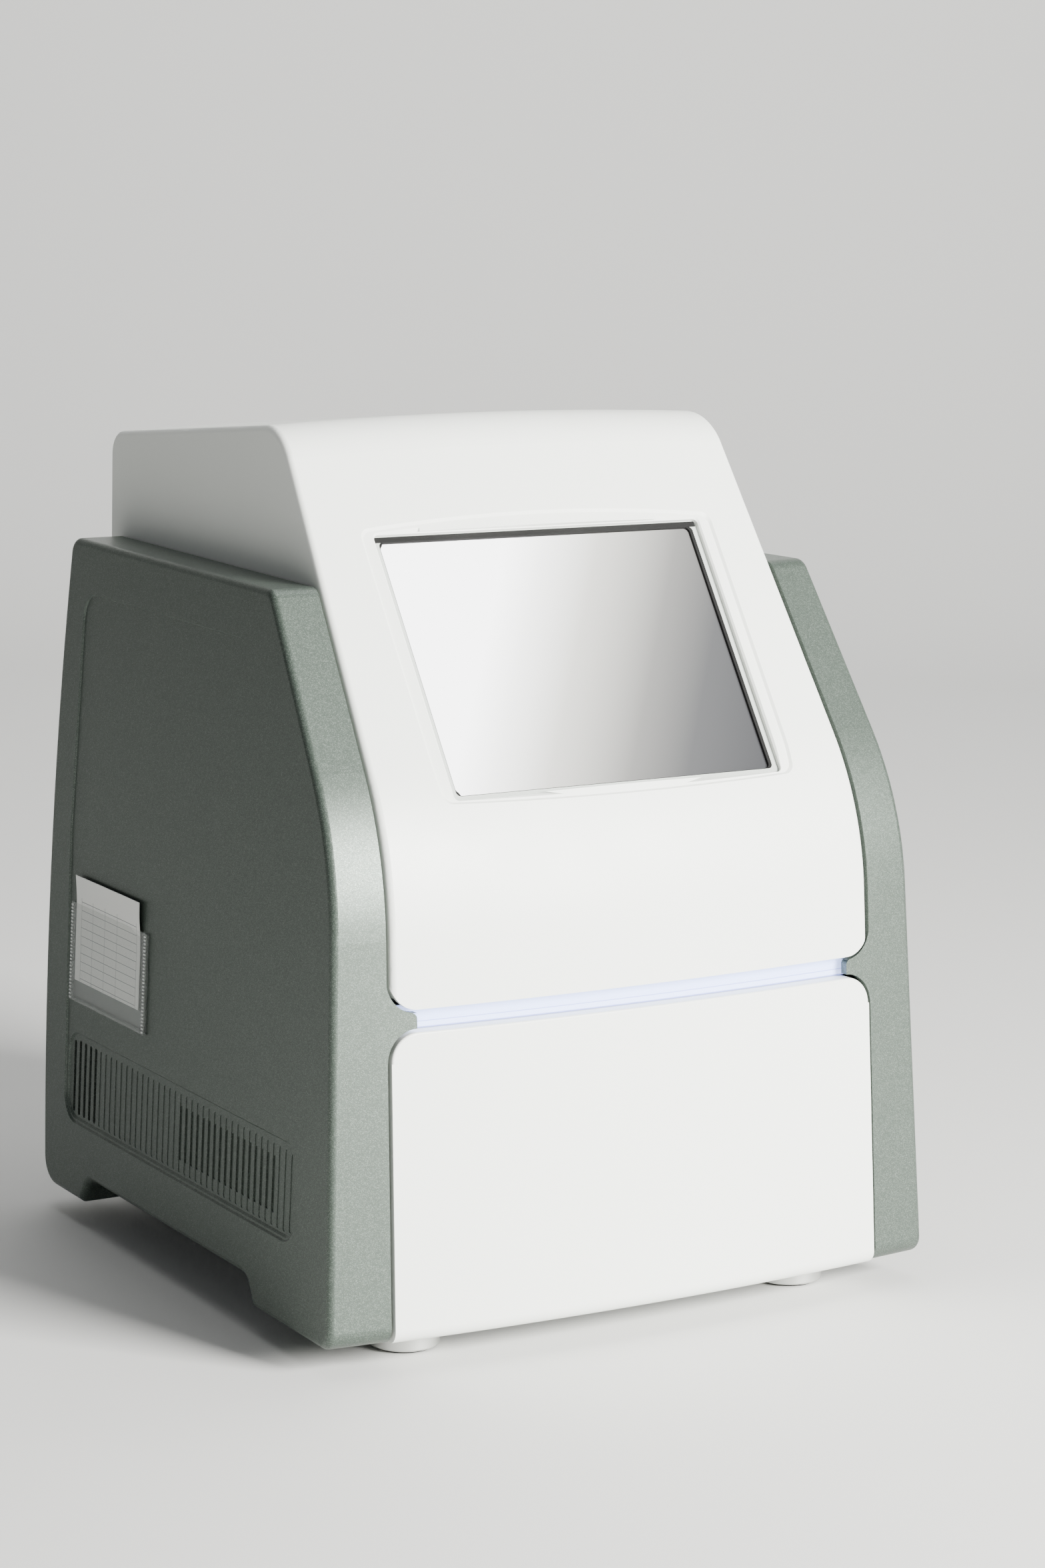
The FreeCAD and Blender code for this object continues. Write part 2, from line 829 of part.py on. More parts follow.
def cover_bosses():
    """Pegs that carry the cover on the side frame below and on the housing above."""
    front, back = frame_front + cover_wall * 8, rear_panel_y - 17 * cover_wall
    low = [(y, z) for y in (front, back) for z in (gap_bottom * 0.3, gap_bottom * 0.8)]
    crown = cover_top - panel_top_margin * 0.7
    high = [(front + frame_flange * 2, knee_height), (back + frame_flange * 2, knee_height),
            (block_y + frame_flange * 2, crown), (back + frame_flange * 3, crown)]
    inside = cover_wedge(cover_wall / 2)
    pegs = [rod(frame_x, y, z, boss_radius, cover_half_width, Vector(1, 0, 0)) for y, z in low]
    outer = [rod(100.0, y, z, boss_radius, cover_half_width, Vector(1, 0, 0)) for y, z in high]
    outer = [peg.cut(wall_wedge(seam_gap)) for peg in outer]
    return [peg.common(inside) for peg in pegs + outer]


def right_side_cover():
    """Painted side cover: a shell open towards the housing, with its panel and air grille."""
    shell = soften_cover(cover_form(0.0)).cut(cover_form(cover_wall))
    shell = shell.cut(wall_wedge(0.0))
    shell = cover_relief(shell)
    return fused([shell, cover_nose()] + cover_bosses())


def pouch_placed(shape):
    """Lays a shape drawn in the YZ plane at X 0 against the left cover's shallow panel."""
    turned = shape.copy()
    turned.rotate(Vector(0, 0, 0), Vector(0, 0, 1), -cover_taper)
    turned.rotate(Vector(0, 0, 0), Vector(0, 1, 0), cover_lean)
    x = cover_x(pouch_y, pouch_height, panel_depth - seat_gap)
    turned.translate(Vector(-x, pouch_y, pouch_height))
    return turned


def card_low():
    return card_lift - pouch_rise / 2


def document_pouch():
    """Clear sleeve: two thin sheets joined along the bottom and both sides."""
    half_y, half_z = pouch_length / 2, pouch_rise / 2
    depth = 2 * pouch_sheet + card_thickness + 2 * running_gap
    corners = [(-half_y, -half_z), (half_y, -half_z), (half_y, half_z), (-half_y, half_z)]
    body = slab_x(corners, [3.0, 3.0, 0.0, 0.0], -depth, 0.0)
    half_slot = card_length / 2 + 2 * running_gap
    slot = box(-depth + pouch_sheet, -pouch_sheet, -half_slot, half_slot, card_low() - running_gap, far)
    return pouch_placed(body.cut(slot))


def record_card():
    half = card_length / 2
    corners = [(-half, card_low()), (half, card_low()), (half, card_low() + card_rise), (-half, card_low() + card_rise)]
    x = -pouch_sheet - running_gap
    return pouch_placed(slab_x(corners, [2.0] * 4, x - card_thickness, x))


def drawer_form(inset):
    """Outer form of the drawer front, inset by its wall."""
    form = bowed_front(inset, body_bottom + inset, front_roll)
    span = wall_half_width + 10.0
    deep = drawer_front_back + (10.0 if inset else 0.0)
    form = form.common(box(-span, span, -far, deep, body_bottom + inset, gap_bottom - inset))
    return form.common(wall_wedge(seam_gap + inset))


def drawer_front():
    """Bowed white front that rolls under at the bottom, hollow behind."""
    form = drawer_form(0.0).cut(gap_corner_tool(gap_bottom, -1.0))
    hollow = drawer_form(housing_wall).cut(gap_corner_tool(gap_bottom, -1.0, -housing_wall))
    top = edges_where(form, lambda e: is_front_top_edge(e))
    return form.makeFillet(1.2, top).cut(hollow)


def is_front_top_edge(edge):
    b = edge.BoundBox
    return b.ZMin > gap_bottom - 0.05 and b.XLength > wall_half_width and b.YMax < drawer_front_back - 1.0


def drawer_back_plate():
    """Sheet that carries the drawer front on the tray."""
    half = wall_x(drawer_front_back, gap_bottom) - seam_gap - 1.5
    corners = [(-half, body_bottom + 4.0), (half, body_bottom + 4.0), (half, gap_bottom - 1.5), (-half, gap_bottom - 1.5)]
    return slab_y(corners, [8.0, 8.0, 18.0, 18.0], drawer_front_back, drawer_front_back + sheet)


def drawer_tray():
    """Folded tray with two ribs that lift the heat sink clear of its floor."""
    front = drawer_front_back + sheet
    w, top = tray_half_width, tray_bottom + tray_wall_height
    floor = box(-w, w, front, tray_back, tray_bottom, tray_bottom + sheet)
    air = slab_z(rectangle(sink_half_x() - 6, block_width / 2, 0, block_y), [6.0] * 4, 0, far)
    walls = [box(i * w, i * (w - sheet), front, tray_back, tray_bottom, top) for i in (-1, 1)]
    end = box(-w, w, front, front + sheet, tray_bottom, top)
    ribs = []
    for i in (-1, 1):
        x = i * (sink_half_x() - 3.0)
        ribs.append(box(x, x + i * sheet, block_y - block_width / 2, block_y + block_width / 2,
                        tray_bottom, sink_top - sink_base))
    return fused([floor.cut(air), end] + walls + ribs)


def sink_half_x():
    return block_length / 2 + 12.0


def heat_sink():
    """Extruded sink with fins under the thermal block."""
    half_y = block_width / 2 + 6.0
    base = box(-sink_half_x(), sink_half_x(), block_y - half_y, block_y + half_y, sink_top - sink_base, sink_top)
    fins = []
    for i in range(fin_count):
        x = (i - (fin_count - 1) / 2) * fin_pitch
        fins.append(box(x - fin_thickness / 2, x + fin_thickness / 2, block_y - half_y, block_y + half_y,
                        tray_bottom + 4 * sheet, sink_top - sink_base))
    return fused([base] + fins)


def peltier_modules():
    """Six thermoelectric modules between the block and the sink."""
    shapes = []
    for i in (-1, 0, 1):
        for j in (-0.5, 0.5):
            x, y = i * (peltier_size + 3.0), block_y + j * (peltier_size + 3.0)
            h = peltier_size / 2
            shapes.append(box(x - h, x + h, y - h, y + h, block_bottom - peltier_height, block_bottom))
    return Part.makeCompound(shapes)


def sample_block():
    """Aluminium block with tapered wells, eight rows of twelve."""
    corners = rectangle(block_length / 2, block_width / 2, 0, block_y)
    block = slab_z(corners, [3.0] * 4, block_bottom, block_top)
    wells = []
    for i in range(well_columns):
        for j in range(well_rows):
            x = (i - (well_columns - 1) / 2) * well_pitch
            y = block_y + (j - (well_rows - 1) / 2) * well_pitch
            wells.append(well(x, y))
    return cut_all(block, wells)


def well(x, y):
    """Tapered well, faceted because it is repeated so often."""
    low = regular_loop(x, y, block_top - well_depth, well_radius / 3)
    return frustum(low, regular_loop(x, y, block_top + 1.0, well_radius + well_radius / well_depth))


def regular_loop(x, y, z, radius):
    turns = [360.0 * k / well_sides for k in range(well_sides)]
    return [Vector(x + radius * cos(a), y + radius * sin(a), z) for a in turns]


def drawer_surround():
    """Moulded top of the drawer with the recess that receives the plate."""
    w = tray_half_width - sheet
    front, back = drawer_front_back + 2 * sheet, tray_back - 6.0
    low = tray_bottom + sheet
    lid = box(-w, w, front, back, surround_top - surround_wall, surround_top)
    hole = rectangle(block_length / 2 + nest_clearance, block_width / 2 + nest_clearance, 0, block_y)
    skirt = box(-w, w, front, back, low, surround_top)
    skirt = skirt.cut(box(-w + surround_wall, w - surround_wall, front + surround_wall,
                          back - surround_wall, 0, far))
    rim = slab_z(rectangle(block_length / 2 + 8.0, block_width / 2 + 8.0, 0, block_y), [6.0] * 4,
                 sink_top, surround_top)
    body = fused([lid, skirt, rim])
    body = body.cut(slab_z(hole, [4.0] * 4, 0, far))
    vents = [box(-w - 5, w + 5, y - 3.0, y + 3.0, sink_top - 40.0, sink_top - sink_base - 4.0)
             for y in range(int(block_y) - 40, int(block_y) + 50, 16)]
    return cut_all(body, vents)


def rail(x_back, x_open, low, high, y0, y1, thickness=sheet):
    """C section with its web at x_back and lips reaching to x_open."""
    inner = x_back - thickness if x_open < x_back else x_back + thickness
    web = box(x_back, inner, y0, y1, low, high)
    lips = [box(x_back, x_open, y0, y1, z, z + thickness) for z in (low, high - thickness)]
    return fused([web] + lips)


def fixed_rails():
    x = frame_x - sheet
    return Part.makeCompound(both_sides(rail(x, x - rail_lip, rail_bottom, rail_bottom + rail_height,
                                             frame_front, rail_back)))


def right_middle_rail():
    step = sheet + running_gap
    x = frame_x - sheet - step
    return rail(x, x - rail_lip, rail_bottom + step, rail_bottom + rail_height - step,
                frame_front, rail_back - 40.0)


def drawer_rails():
    """Inner members, fixed to the tray walls and running inside the middle ones."""
    step = 2 * (sheet + running_gap)
    x = tray_half_width
    outer = frame_x - sheet - step
    return Part.makeCompound(both_sides(rail(x, outer, rail_bottom + step, rail_bottom + rail_height - step,
                                             drawer_front_back + sheet, tray_back)))


def base_plate():
    """Folded steel base with an upturned edge front and rear."""
    front = wall_x(frame_front, 0) - 8.0
    back = wall_x(rear_panel_y, 0) - 8.0
    lower = [(-front, frame_front), (front, frame_front), (back, rear_panel_y), (-back, rear_panel_y)]
    plate = slab_z(lower, [4.0] * 4, base_bottom, base_top)
    lip = box(-front + 10, front - 10, frame_front, frame_front + sheet, base_bottom, base_top + 8.0)
    vents = [box(x - 2.0, x + 2.0, block_y - 30, block_y + 30, 0, far) for x in range(-56, 57, 14)]
    return cut_all(fused([plate, lip]), vents)


def side_frames():
    """Two upright sheets with a flange under the deck, cut away to save weight."""
    front, inner = frame_front + 2 * sheet, frame_x - frame_flange
    web = box(frame_x - sheet, frame_x, front, rear_panel_y, base_top, deck_bottom)
    flange = box(inner, frame_x, front, rear_panel_y, deck_bottom - sheet, deck_bottom)
    foot = box(inner, frame_x, front, rear_panel_y, base_top, base_top + sheet)
    low, high = rail_bottom + rail_height + frame_flange, deck_bottom - 2 * frame_flange
    start, end = block_y - 30.0, tray_back + 28.0
    corners = [(start, low), (end - 28.0, low), (end, low + 28.0), (end, high), (start, high)]
    hole = slab_x(corners, [10.0] * 5, frame_x - 20.0, frame_x + 20.0)
    frame = fused([web, flange, foot]).cut(hole)
    return Part.makeCompound(both_sides(frame))


def deck_plate():
    """Sheet that carries the housing and the optics, cut out over the block."""
    form = wall_wedge(seam_gap, y0=frame_front, y1=rear_panel_y, z0=deck_bottom, z1=deck_top)
    hole = slab_z(rectangle(window_length / 2, window_width / 2, 0, block_y), [6.0] * 4, 0, far)
    cuts = [hole]
    for x, y in rod_places():
        cuts.append(rod(x, y, 0, rod_radius + running_gap, far))
    return cut_all(form, cuts)


def rod_places():
    return [(i * rod_x, block_y + j * rod_y) for i in (-1, 1) for j in (-1, 1)]


def rear_panel():
    """Rear sheet with round fan openings behind slats and the cut-outs for the services."""
    half = wall_x(rear_panel_y, rear_panel_top) - seam_gap - 1.0
    corners = [(-half, base_bottom), (half, base_bottom), (half, rear_panel_top), (-half, rear_panel_top)]
    panel = slab_y(corners, [3.0] * 4, rear_panel_y, rear_panel_y + sheet)
    cuts = []
    for i in (-1, 1):
        for k in range(-4, 5):
            z = k * slat_pitch
            reach = math.sqrt(fan_bore ** 2 - (abs(z) + 2.5) ** 2) if abs(z) + 2.5 < fan_bore else 0
            cuts.append(box(i * fan_x - reach, i * fan_x + reach, rear_panel_y - 5, rear_panel_y + 5,
                            fan_height + z - 2.5, fan_height + z + 2.5))
    for k in range(6):
        x = -50.0 + 20.0 * k
        cuts.append(box(x - 7, x + 7, rear_panel_y - 5, rear_panel_y + 5, rear_panel_top - 34, rear_panel_top - 29))
        cuts.append(box(x - 7, x + 7, rear_panel_y - 5, rear_panel_y + 5, rear_panel_top - 22, rear_panel_top - 17))
    cuts.append(opening_y(inlet_x, inlet_height, inlet_width / 2, inlet_opening / 2))
    cuts.append(opening_y(switch_x, inlet_height, switch_width / 2, switch_opening / 2))
    for x, width, height in socket_places():
        z = board_top() + height / 2
        cuts.append(opening_y(x, z, width / 2 + 0.5, height / 2 + 0.5))
    return cut_all(panel, cuts)


def opening_y(x, z, half_x, half_z):
    return box(x - half_x, x + half_x, rear_panel_y - 8, rear_panel_y + 8, z - half_z, z + half_z)


def board_top():
    return deck_top + standoff_height + board_thickness


def socket_places():
    """Network and serial-bus sockets: position, width and height."""
    return [(70.0, 16.0, 13.5), (44.0, 13.2, 7.0), (26.0, 13.2, 7.0)]


def front_feet():
    """Turned aluminium discs under the drawer, each on a neck below the base."""
    shapes = []
    for i in (-1, 1):
        disc = rod(i * front_foot_x, front_foot_y, foot_pad_height, foot_radius,
                   body_bottom - foot_gap - foot_pad_height)
        disc = disc.makeChamfer(1.0, edges_where(disc, lambda e: e.BoundBox.ZLength < 0.01))
        neck = rod(i * front_foot_x, front_foot_y, foot_pad_height, foot_neck_radius, base_bottom - foot_pad_height)
        shapes.append(disc.fuse(neck).removeSplitter())
    return Part.makeCompound(shapes)


def front_foot_pads():
    return Part.makeCompound([rod(i * front_foot_x, front_foot_y, 0, foot_pad_radius, foot_pad_height)
                              for i in (-1, 1)])


def rear_feet():
    return Part.makeCompound([Part.makeCone(rear_foot_radius, rear_foot_radius - 2.0, base_bottom,
                                            Vector(i * rear_foot_x, rear_foot_y, 0)) for i in (-1, 1)])


def lead_screw():
    """Plain screw with a shoulder, turned by the drawer motor."""
    front = frame_front + sheet + 2 * running_gap
    shaft = rod(0, front, screw_height, screw_radius, drive_motor_y - front, Vector(0, 1, 0))
    shoulder = rod(0, drive_motor_y - 12.0, screw_height, screw_radius + 4.0, 12.0 - running_gap, Vector(0, 1, 0))
    return fused([shaft, shoulder])


def screw_bearing():
    """Bracket that holds the front end of the lead screw."""
    y = frame_front + 2 * sheet
    plate = box(-14, 14, y, y + 8.0, base_top, screw_height + 12.0)
    foot = box(-14, 14, y, y + 24.0, base_top, base_top + sheet)
    hole = rod(0, y - 5, screw_height, screw_radius + running_gap, 20, Vector(0, 1, 0))
    return fused([plate, foot]).cut(hole)


def drawer_nut():
    """Nut block that hangs from the tray round the lead screw."""
    h = nut_size / 2
    block = box(-h, h, tray_back - nut_size - 2 * sheet, tray_back, screw_height - h, tray_bottom)
    hole = rod(0, tray_back - 40.0, screw_height, screw_radius + running_gap, 50, Vector(0, 1, 0))
    return block.cut(hole)


def drawer_motor():
    """Geared motor on an angle bracket."""
    h = drive_motor_size / 2
    y1 = drive_motor_y + drive_motor_length
    body = slab_y([(-h, screw_height - h), (h, screw_height - h), (h, screw_height + h), (-h, screw_height + h)],
                  [4.0] * 4, drive_motor_y + running_gap, y1)
    stand = box(-h, h, drive_motor_y + 6.0, y1 - 6.0, base_top, screw_height - h + 2.0)
    return fused([body, stand])


def heated_lid():
    """Lid plate with the window the optics look through."""
    hx, hy = window_length / 2, window_width / 2
    plate = slab_z(rectangle(lid_length / 2, lid_width / 2, 0, block_y), [5.0] * 4, lid_bottom, carrier_bottom)
    hole = slab_z(rectangle(hx, hy, 0, block_y), [3.0] * 4, 0, far)
    seat = slab_z(rectangle(hx + 3.0, hy + 3.0, 0, block_y), [4.0] * 4, lid_bottom + 3.0, far)
    return plate.cut(hole).cut(seat)


def lid_window():
    hx, hy = window_length / 2 + 3.0, window_width / 2 + 3.0
    return slab_z(rectangle(hx, hy, 0, block_y), [4.0] * 4, lid_bottom + 3.0, carrier_bottom)


def lid_carrier():
    """Frame over the lid with four guide rods that rise through the deck."""
    plate = slab_z(rectangle(carrier_half_x, carrier_half_y, 0, block_y), [6.0] * 4,
                   carrier_bottom, carrier_bottom + carrier_thickness)
    hole = slab_z(rectangle(window_length / 2, window_width / 2, 0, block_y), [3.0] * 4, 0, far)
    rods = [rod(x, y, carrier_bottom, rod_radius, rod_length) for x, y in rod_places()]
    return fused([plate.cut(hole)] + rods)


def lid_actuators():
    """Four small linear motors on the deck, each with a clear bore for its rod."""
    shapes = []
    for x, y in rod_places():
        h = actuator_size / 2
        body = slab_z(rectangle(h, h, x, y), [3.0] * 4, deck_top, deck_top + actuator_height)
        collar = rod(x, y, deck_top, rod_radius + 4.0, actuator_height + 8.0)
        bore = rod(x, y, 0, rod_radius + running_gap, far)
        shapes.append(fused([body, collar]).cut(bore))
    return Part.makeCompound(shapes)


def optics_housing():
    """Dark box over the block that keeps stray light out."""
    corners = rectangle(optics_half_x, optics_half_y, 0, block_y)
    inner = rectangle(optics_half_x - optics_wall, optics_half_y - optics_wall, 0, block_y)
    body = slab_z(corners, [6.0] * 4, deck_top, optics_top)
    body = body.cut(slab_z(inner, [4.0] * 4, 0, optics_top - optics_wall))
    ledge = slab_z(inner, [4.0] * 4, deck_top + 6.0, deck_top + 9.0)
    ledge = ledge.cut(slab_z(rectangle(window_length / 2, window_width / 2, 0, block_y), [6.0] * 4, 0, far))
    side = box(-led_half_x(), led_half_x(), block_y + optics_half_y - 10, block_y + optics_half_y + 10,
               led_low(), led_high())
    beam = rod(0, block_y, optics_top - 10, beam_radius, 20)
    return cut_all(fused([body, ledge]), [side, beam])


def led_half_x():
    return 24.0


def led_low():
    return deck_top + 34.0


def led_high():
    return deck_top + 68.0


def field_lens():
    """Large lens over the window, flat below and domed above."""
    hx, hy = window_length / 2 + 4.0, window_width / 2 + 4.0
    low = deck_top + 9.0
    slab = slab_z(rectangle(hx, hy, 0, block_y), [6.0] * 4, low, low + 3 * field_lens_thickness)
    radius = 3 * optics_half_x
    crown = Vector(-far, block_y, low + field_lens_thickness + 2.0 - radius)
    return slab.common(Part.makeCylinder(radius, 2 * far, crown, Vector(1, 0, 0)))


def beam_splitter():
    """Glass plate at 45 degrees across the box, resting on its walls."""
    x = optics_half_x - optics_wall
    height = 40.0
    z = (led_low() + led_high()) / 2
    plate = box(-x, x, -splitter_thickness / 2, splitter_thickness / 2, -height / 2 * 1.3, height / 2 * 1.3)
    plate.rotate(Vector(0, 0, 0), Vector(1, 0, 0), -45)
    plate.translate(Vector(0, block_y, z))
    return plate


def led_unit():
    """Lamp board with a finned back, let into the rear of the optics box."""
    y = block_y + optics_half_y
    low, high = led_low(), led_high()
    plug = box(-led_half_x(), led_half_x(), y - optics_wall, y, low, high)
    flange = box(-led_half_x() - 6, led_half_x() + 6, y, y + 4, low - 6, high + 6)
    fins = [box(x - 1.2, x + 1.2, y + 4, y + 26, low - 4, high + 4) for x in range(-24, 25, 8)]
    return fused([plug, flange] + fins)


def wheel_centre():
    return block_y + filter_orbit


def filter_wheel():
    """Round plate with a ring of filter seats, turned by its motor's spindle."""
    y = wheel_centre()
    disc = rod(0, y, wheel_bottom, wheel_radius, wheel_thickness)
    hub = rod(0, y, wheel_bottom, 10.0, wheel_thickness + 3.0)
    cuts = [rod(0, y, 0, 3.0 + running_gap, far)]
    for k in range(filter_count):
        a = 360.0 * k / filter_count - 90.0
        cuts.append(rod(filter_orbit * cos(a), y + filter_orbit * sin(a), 0, filter_radius, far))
    return cut_all(fused([disc, hub]), cuts)


def optical_filters():
    y = wheel_centre()
    shapes = []
    for k in range(filter_count):
        a = 360.0 * k / filter_count - 90.0
        shapes.append(rod(filter_orbit * cos(a), y + filter_orbit * sin(a), wheel_bottom, filter_radius, wheel_thickness))
    return Part.makeCompound(shapes)


def wheel_motor():
    body = rod(0, wheel_centre(), optics_top, 17.0, wheel_motor_height)
    spindle = rod(0, wheel_centre(), optics_top, 3.0, wheel_motor_height + wheel_thickness + 2.0)
    return fused([body, spindle])


def camera_bridge():
    """Bridge over the filter wheel that carries the camera."""
    half_x, y = optics_half_x - 4.0, block_y
    top = bridge_bottom + bridge_thickness
    plate = box(-half_x, half_x, y - 30.0, y + 24.0, bridge_bottom, top)
    legs = [box(i * half_x, i * (half_x - 6.0), y - 30.0, y + 24.0, optics_top, top) for i in (-1, 1)]
    hole = rod(0, y, 0, lens_radius, far)
    return fused([plate] + legs).cut(hole)


def camera_lens():
    """Stepped lens barrel hanging through the bridge by its flange."""
    top = bridge_bottom + bridge_thickness
    barrel = rod(0, block_y, bridge_bottom, lens_radius, lens_length)
    flange = rod(0, block_y, top, lens_radius + 5.0, 4.0)
    ring = rod(0, block_y, top + 10.0, lens_radius + 2.5, 10.0)
    hole = rod(0, block_y, bridge_bottom - 1.0, lens_radius - 3.0, 4.0)
    return fused([barrel, flange, ring]).cut(hole)


def camera_body():
    low = bridge_bottom + lens_length
    h = camera_size / 2
    body = slab_z(rectangle(h, h, 0, block_y), [4.0] * 4, low, low + camera_height)
    grooves = [box(i * h, i * (h - 3), block_y - h, block_y + h, low + z, low + z + 3.0)
               for i in (-1, 1) for z in (6, 13, 20)]
    return cut_all(body, grooves)


def fan_centre(side):
    return side * fan_x, rear_panel_y - fan_depth / 2, fan_height


def fan_frames():
    """Square fan frames with a hub held by four struts on the inner side."""
    shapes = []
    h = fan_size / 2
    for side in (-1, 1):
        x, y, z = fan_centre(side)
        y0 = rear_panel_y - fan_depth
        frame = slab_y([(x - h, z - h), (x + h, z - h), (x + h, z + h), (x - h, z + h)], [5.0] * 4, y0, rear_panel_y)
        frame = frame.cut(rod(x, y0 - 1, z, fan_bore, fan_depth + 2, Vector(0, 1, 0)))
        hub = rod(x, y0, z, hub_radius, 5.0, Vector(0, 1, 0))
        pin = rod(x, y0, z, 3.0, 14.0, Vector(0, 1, 0))
        struts = [box(x - fan_bore - 1, x + fan_bore + 1, y0, y0 + 3, z - 2, z + 2),
                  box(x - 2, x + 2, y0, y0 + 3, z - fan_bore - 1, z + fan_bore + 1)]
        shapes.append(fused([frame, hub, pin] + struts))
    return Part.makeCompound(shapes)


def fan_rotor(side):
    """Hub with pitched blades, turning on the frame's pin."""
    x, y, z = fan_centre(side)
    low = rear_panel_y - fan_depth + 5.0 + 2 * running_gap
    deep = fan_depth - 9.0
    hub = rod(x, low, z, hub_radius, deep, Vector(0, 1, 0))
    ring = rod(x, low, z, fan_bore - 1.5, deep, Vector(0, 1, 0))
    reach = fan_bore + 2.0
    blades = []
    for k in range(fan_blades):
        blade = box(0, reach, -deep, deep, -blade_thickness / 2, blade_thickness / 2)
        blade.rotate(Vector(0, 0, 0), Vector(1, 0, 0), 38)
        blade.rotate(Vector(0, 0, 0), Vector(0, 1, 0), 360.0 * k / fan_blades)
        blade.translate(Vector(x, low + deep / 2, z))
        blades.append(blade.common(ring))
    body = fused([hub] + blades)
    return body.cut(rod(x, low - 5, z, 3.0 + running_gap, 20.0, Vector(0, 1, 0)))


def power_supply():
    """Closed supply box on the base with an air slot pattern on its top."""
    x0, y1 = supply_x, rear_panel_y - 6.0
    body = box(x0, x0 + supply_length, y1 - supply_width, y1, base_top, base_top + supply_height)
    slots = [box(x0 + 14 + 12 * k, x0 + 18 + 12 * k, y1 - supply_width + 14, y1 - 14,
                 base_top + supply_height - 2, base_top + supply_height + 2) for k in range(5)]
    return cut_all(body, slots)


def main_board():
    """Control board on four standoffs above the deck."""
    y1 = rear_panel_y - 4.0
    low = deck_top + standoff_height
    x = board_length / 2
    board = slab_z(rectangle(x, board_width / 2, 0, y1 - board_width / 2), [3.0] * 4, low, low + board_thickness)
    posts = [rod(i * (x - 6), y1 - 6 - j * (board_width - 12), deck_top, 3.0, standoff_height)
             for i in (-1, 1) for j in (0, 1)]
    return fused([board] + posts)


def board_parts():
    """Processor with its cooler, capacitors and connectors on the board."""
    z = board_top()
    x, y = board_length / 2, rear_panel_y - 4.0 - board_width / 2
    shapes = [box(35 - x, 67 - x, y - 20, y + 12, z, z + 12), box(-20, 20, y - 10, y + 6, z, z + 5),
              box(15 - x, 21 - x, y - 40, y + 20, z, z + 9)]
    shapes += [rod(30 + 14 * k, y - 10, z, 5.0, 14.0) for k in range(4)]
    return Part.makeCompound(shapes)


def sockets():
    """Metal shells of the sockets, open to the rear."""
    shapes = []
    for x, width, height in socket_places():
        low = board_top()
        shell = box(x - width / 2, x + width / 2, rear_panel_y - 18, rear_panel_y + sheet, low, low + height)
        well = box(x - width / 2 + 1, x + width / 2 - 1, rear_panel_y - 12, far, low + 1, low + height - 1)
        shapes.append(shell.cut(well))
    return Part.makeCompound(shapes)


def power_inlet():
    """Mains inlet, a moulded cup with chamfered upper corners and a flange outside the panel."""
    back = rear_panel_y + sheet
    w, h = inlet_width / 2, inlet_opening / 2
    flange = slab_y([(inlet_x - w - 4, inlet_height - h - 4), (inlet_x + w + 4, inlet_height - h - 4),
                     (inlet_x + w + 4, inlet_height + h + 4), (inlet_x - w - 4, inlet_height + h + 4)],
                    [3.0] * 4, back, back + 2.5)
    body = box(inlet_x - w, inlet_x + w, back - inlet_depth - 4, back, inlet_height - h, inlet_height + h)
    w, h = w - 1.75, h - 2.0
    cup = slab_y([(inlet_x - w, inlet_height - h), (inlet_x + w, inlet_height - h),
                  (inlet_x + w, inlet_height + h - 5), (inlet_x + w - 5, inlet_height + h),
                  (inlet_x - w + 5, inlet_height + h), (inlet_x - w, inlet_height + h - 5)],
                 [1.0] * 6, back - inlet_depth, back + 5)
    return fused([flange, body]).cut(cup)


def inlet_pins():
    """Three flat pins, the middle one for earth set apart."""
    y = rear_panel_y + sheet - inlet_depth
    places = [(-7.0, -2.0), (7.0, -2.0), (0.0, 2.0)]
    return Part.makeCompound([box(inlet_x + i - 1, inlet_x + i + 1, y, y + 14.0, inlet_height + k - 2,
                                  inlet_height + k + 2) for i, k in places])


def switch_frame():
    """Frame of the mains switch with the well its rocker tips in."""
    back = rear_panel_y + sheet
    w, h = switch_width / 2, switch_opening / 2
    flange = box(switch_x - w - 2, switch_x + w + 2, back, back + 2.0, inlet_height - h - 2, inlet_height + h + 2)
    body = box(switch_x - w, switch_x + w, back - 18, back, inlet_height - h, inlet_height + h)
    well = box(switch_x - w + 1.5, switch_x + w - 1.5, back - 12, back + 5, inlet_height - h + 1.5, inlet_height + h - 1.5)
    return fused([flange, body]).cut(well)


def rocker_axis_y():
    return rear_panel_y + sheet - 3.0


def switch_rocker():
    """Rocker with a slightly hollowed face, tipped about its middle."""
    w, h = switch_width / 2 - 1.5 - running_gap, switch_opening / 2 - 1.5 - 2 * running_gap
    y, z = rocker_axis_y(), inlet_height
    face = box(switch_x - w, switch_x + w, y - 4.0, y + 6.0, z - h, z + h)
    drum = rod(switch_x - w, y, z, h, 2 * w, Vector(1, 0, 0))
    hollow = rod(switch_x - w - 1, y + 34.0, z, 30.0, 2 * w + 2, Vector(1, 0, 0))
    rocker = face.common(drum).cut(hollow)
    rocker.rotate(Vector(switch_x, y, z), Vector(1, 0, 0), switch_tilt)
    return rocker


def write(name, shape):
    shape.exportStep("parts/" + name + ".step")


